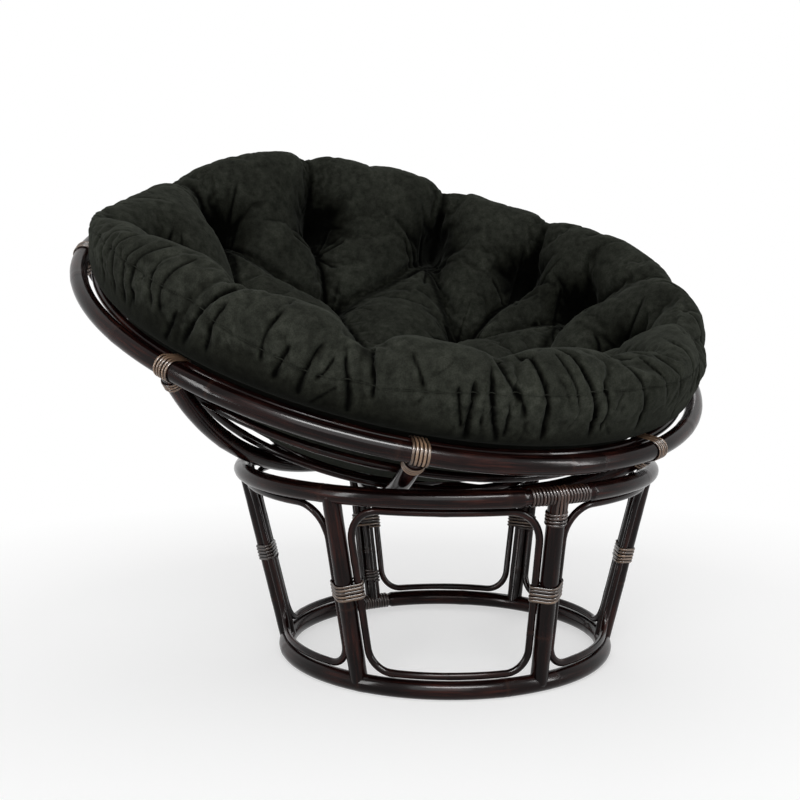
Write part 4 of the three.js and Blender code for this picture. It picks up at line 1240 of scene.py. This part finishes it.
def build_seam(cover):
    """The cord of the seam round the cushion's edge, half sunk in the cover."""
    depsgraph = bpy.context.evaluated_depsgraph_get()
    tree = BVHTree.FromObject(cover, depsgraph)
    azimuth = TURN * np.arange(SEAM_STEPS) / SEAM_STEPS
    height = smooth_wave(SEAM_BY_AZIMUTH, azimuth) / 1000 - RIM_DEPTH
    starts = in_bowl(polar(SEAM_FROM, azimuth, height))
    ends = in_bowl(polar(0.0, azimuth, height))
    points = []
    for start, end in zip(starts, ends):
        hit = tree.ray_cast(Vector(start), Vector(end - start).normalized(), SEAM_SEARCH)[0]
        points.append(np.array(hit) if hit is not None else (points[-1] if points else end))
    points = np.array(points)
    for _ in range(2):
        points = (np.roll(points, 1, axis=0) + 2 * points + np.roll(points, -1, axis=0)) / 4
    out, side = frames_along(points, True, unit(starts - ends))
    angle = TURN * np.arange(6) / 6
    rings = (points[:, None, :] + SEAM_CORD * (np.cos(angle)[None, :, None] * out[:, None, :]
                                               + np.sin(angle)[None, :, None] * side[:, None, :]))
    cord = skin("cushion_seam", rings, True, SUEDE)
    # A little painted shade on the seam's cord
    attribute(cord, "painted_light_and_shade", "FLOAT", np.full(len(azimuth) * 6, 0.15))
    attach(cord, "cushion")


def build_cushion():
    obj, pits = cushion_mesh("cushion_cover", SPOKES, SWELL)
    remesh = obj.modifiers.new("remesh", "REMESH")
    remesh.mode = "VOXEL"
    remesh.voxel_size = VOXEL
    apply_modifiers(obj)
    inflate(obj, pits)
    finer = obj.modifiers.new("finer", "SUBSURF")
    finer.levels = 1
    apply_modifiers(obj)
    paint_light_and_shade(obj, fold(obj), pits)
    obj.data.materials.clear()
    obj.data.materials.append(SUEDE)
    obj.data.shade_smooth()
    build_seam(obj)
    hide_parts("cushion")
    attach(obj, "cushion")


def build_camera():
    data = bpy.data.cameras.new("camera")
    data.lens = CAMERA_LENS
    data.sensor_width = CAMERA_SENSOR
    data.clip_start, data.clip_end = CAMERA_CLIP
    camera = link("camera", data)
    camera.location = Vector(CAMERA_PLACE) + BASE_AXIS
    camera.rotation_mode = "QUATERNION"
    camera.rotation_quaternion = Vector(CAMERA_FORWARD).to_track_quat("-Z", "Y")
    bpy.context.scene.camera = camera


def seen_directly(tree):
    """1 on the rays by which the camera sees a surface, straight or in gloss or glass."""
    path = add(tree, "ShaderNodeLightPath")
    shown = combine(tree, "MAXIMUM", path.outputs["Is Camera Ray"], path.outputs["Is Glossy Ray"])
    return combine(tree, "MAXIMUM", shown, path.outputs["Is Transmission Ray"])


def white_floor():
    """White paper to the eye: it keeps a pale shadow round the chair and is plain white farther out."""
    material, tree, lit = nodes_of("floor")
    fill(tree, lit, Base_Color=(*grey(0.86), 1), Roughness=0.8, Specular_IOR_Level=0.0)
    paper = add(tree, "ShaderNodeBsdfDiffuse", Color=(*grey(FLOOR_SHADOW), 1))
    glow = add(tree, "ShaderNodeEmission", Color=(1, 1, 1, 1), Strength=FLOOR_LIFT)
    white = add(tree, "ShaderNodeEmission", Color=(1, 1, 1, 1), Strength=1.0)
    shown = add(tree, "ShaderNodeAddShader", paper.outputs[0], glow.outputs[0])
    place = add(tree, "ShaderNodeTexCoord").outputs["Object"]
    away = add(tree, "ShaderNodeVectorMath", place, BASE_AXIS, operation="DISTANCE").outputs["Value"]
    far = add(tree, "ShaderNodeMixShader", span(tree, away, *FLOOR_FADE, 0, 1), shown.outputs[0],
              white.outputs[0])
    split = add(tree, "ShaderNodeMixShader", seen_directly(tree), lit.outputs[0], far.outputs[0])
    tree.links.new(split.outputs[0], tree.nodes["Material Output"].inputs["Surface"])
    return material


def build_stage():
    """A white floor that reaches the horizon, and a world that is white where it is seen."""
    half = FLOOR_SIZE / 2
    floor = mesh_object("floor", [(-half, -half, 0), (half, -half, 0), (half, half, 0), (-half, half, 0)],
                        [(0, 1, 2, 3)], white_floor(), smooth=False)
    world = bpy.data.worlds.new("studio")
    bpy.context.scene.world = world
    world.use_nodes = True
    tree = world.node_tree
    background = tree.nodes["Background"]
    background.inputs["Color"].default_value = (1, 1, 1, 1)
    tree.links.new(span(tree, seen_directly(tree), 0, 1, 0.55, 1.0), background.inputs["Strength"])


def area_light(name, place, size, power, along="across", strip=False):
    """A lamp at a place in front of, right of and above the chair as the camera sees it, turned to the
    chair, with its longer side along a direction. A strip draws highlights and lights nothing else."""
    ahead = Vector(CAMERA_FORWARD).to_2d().normalized().to_3d()
    right = Vector((ahead.y, -ahead.x, 0))
    place = CHAIR_MIDDLE - ahead * place[0] + right * place[1] + Vector((0, 0, place[2]))
    back = (place - CHAIR_MIDDLE).normalized()
    long_side = right if along == "across" else Vector((0, 0, 1))
    long_side = (long_side - back * long_side.dot(back)).normalized()
    data = bpy.data.lights.new(name, "AREA")
    data.shape = "RECTANGLE"
    data.size, data.size_y = size
    data.energy = power
    light = link(name, data)
    light.visible_diffuse = not strip
    light.location = place
    light.rotation_mode = "QUATERNION"
    light.rotation_quaternion = Matrix((long_side, back.cross(long_side), back)).transposed().to_quaternion()


def build_lights():
    """A soft box in front of the chair, a weaker one behind, and strips that draw lines in the lacquer."""
    area_light("key", (2.6, -0.2, 1.15), (2.0, 2.0), 48)
    area_light("back", (-2.2, 0.5, 2.0), (1.6, 1.2), 18)
    area_light("strip_over", (2.2, 0.3, 2.1), (2.0, 0.7), 200, strip=True)
    area_light("strip_left", (1.5, -2.0, 0.5), (1.6, 0.30), 34, "up", strip=True)
    area_light("strip_right", (0.9, 2.2, 0.6), (1.6, 0.30), 44, "up", strip=True)


bpy.context.scene.view_settings.view_transform = "Standard"
build_camera()
build_stage()
build_lights()
build_base()
build_bowl()
build_cushion()
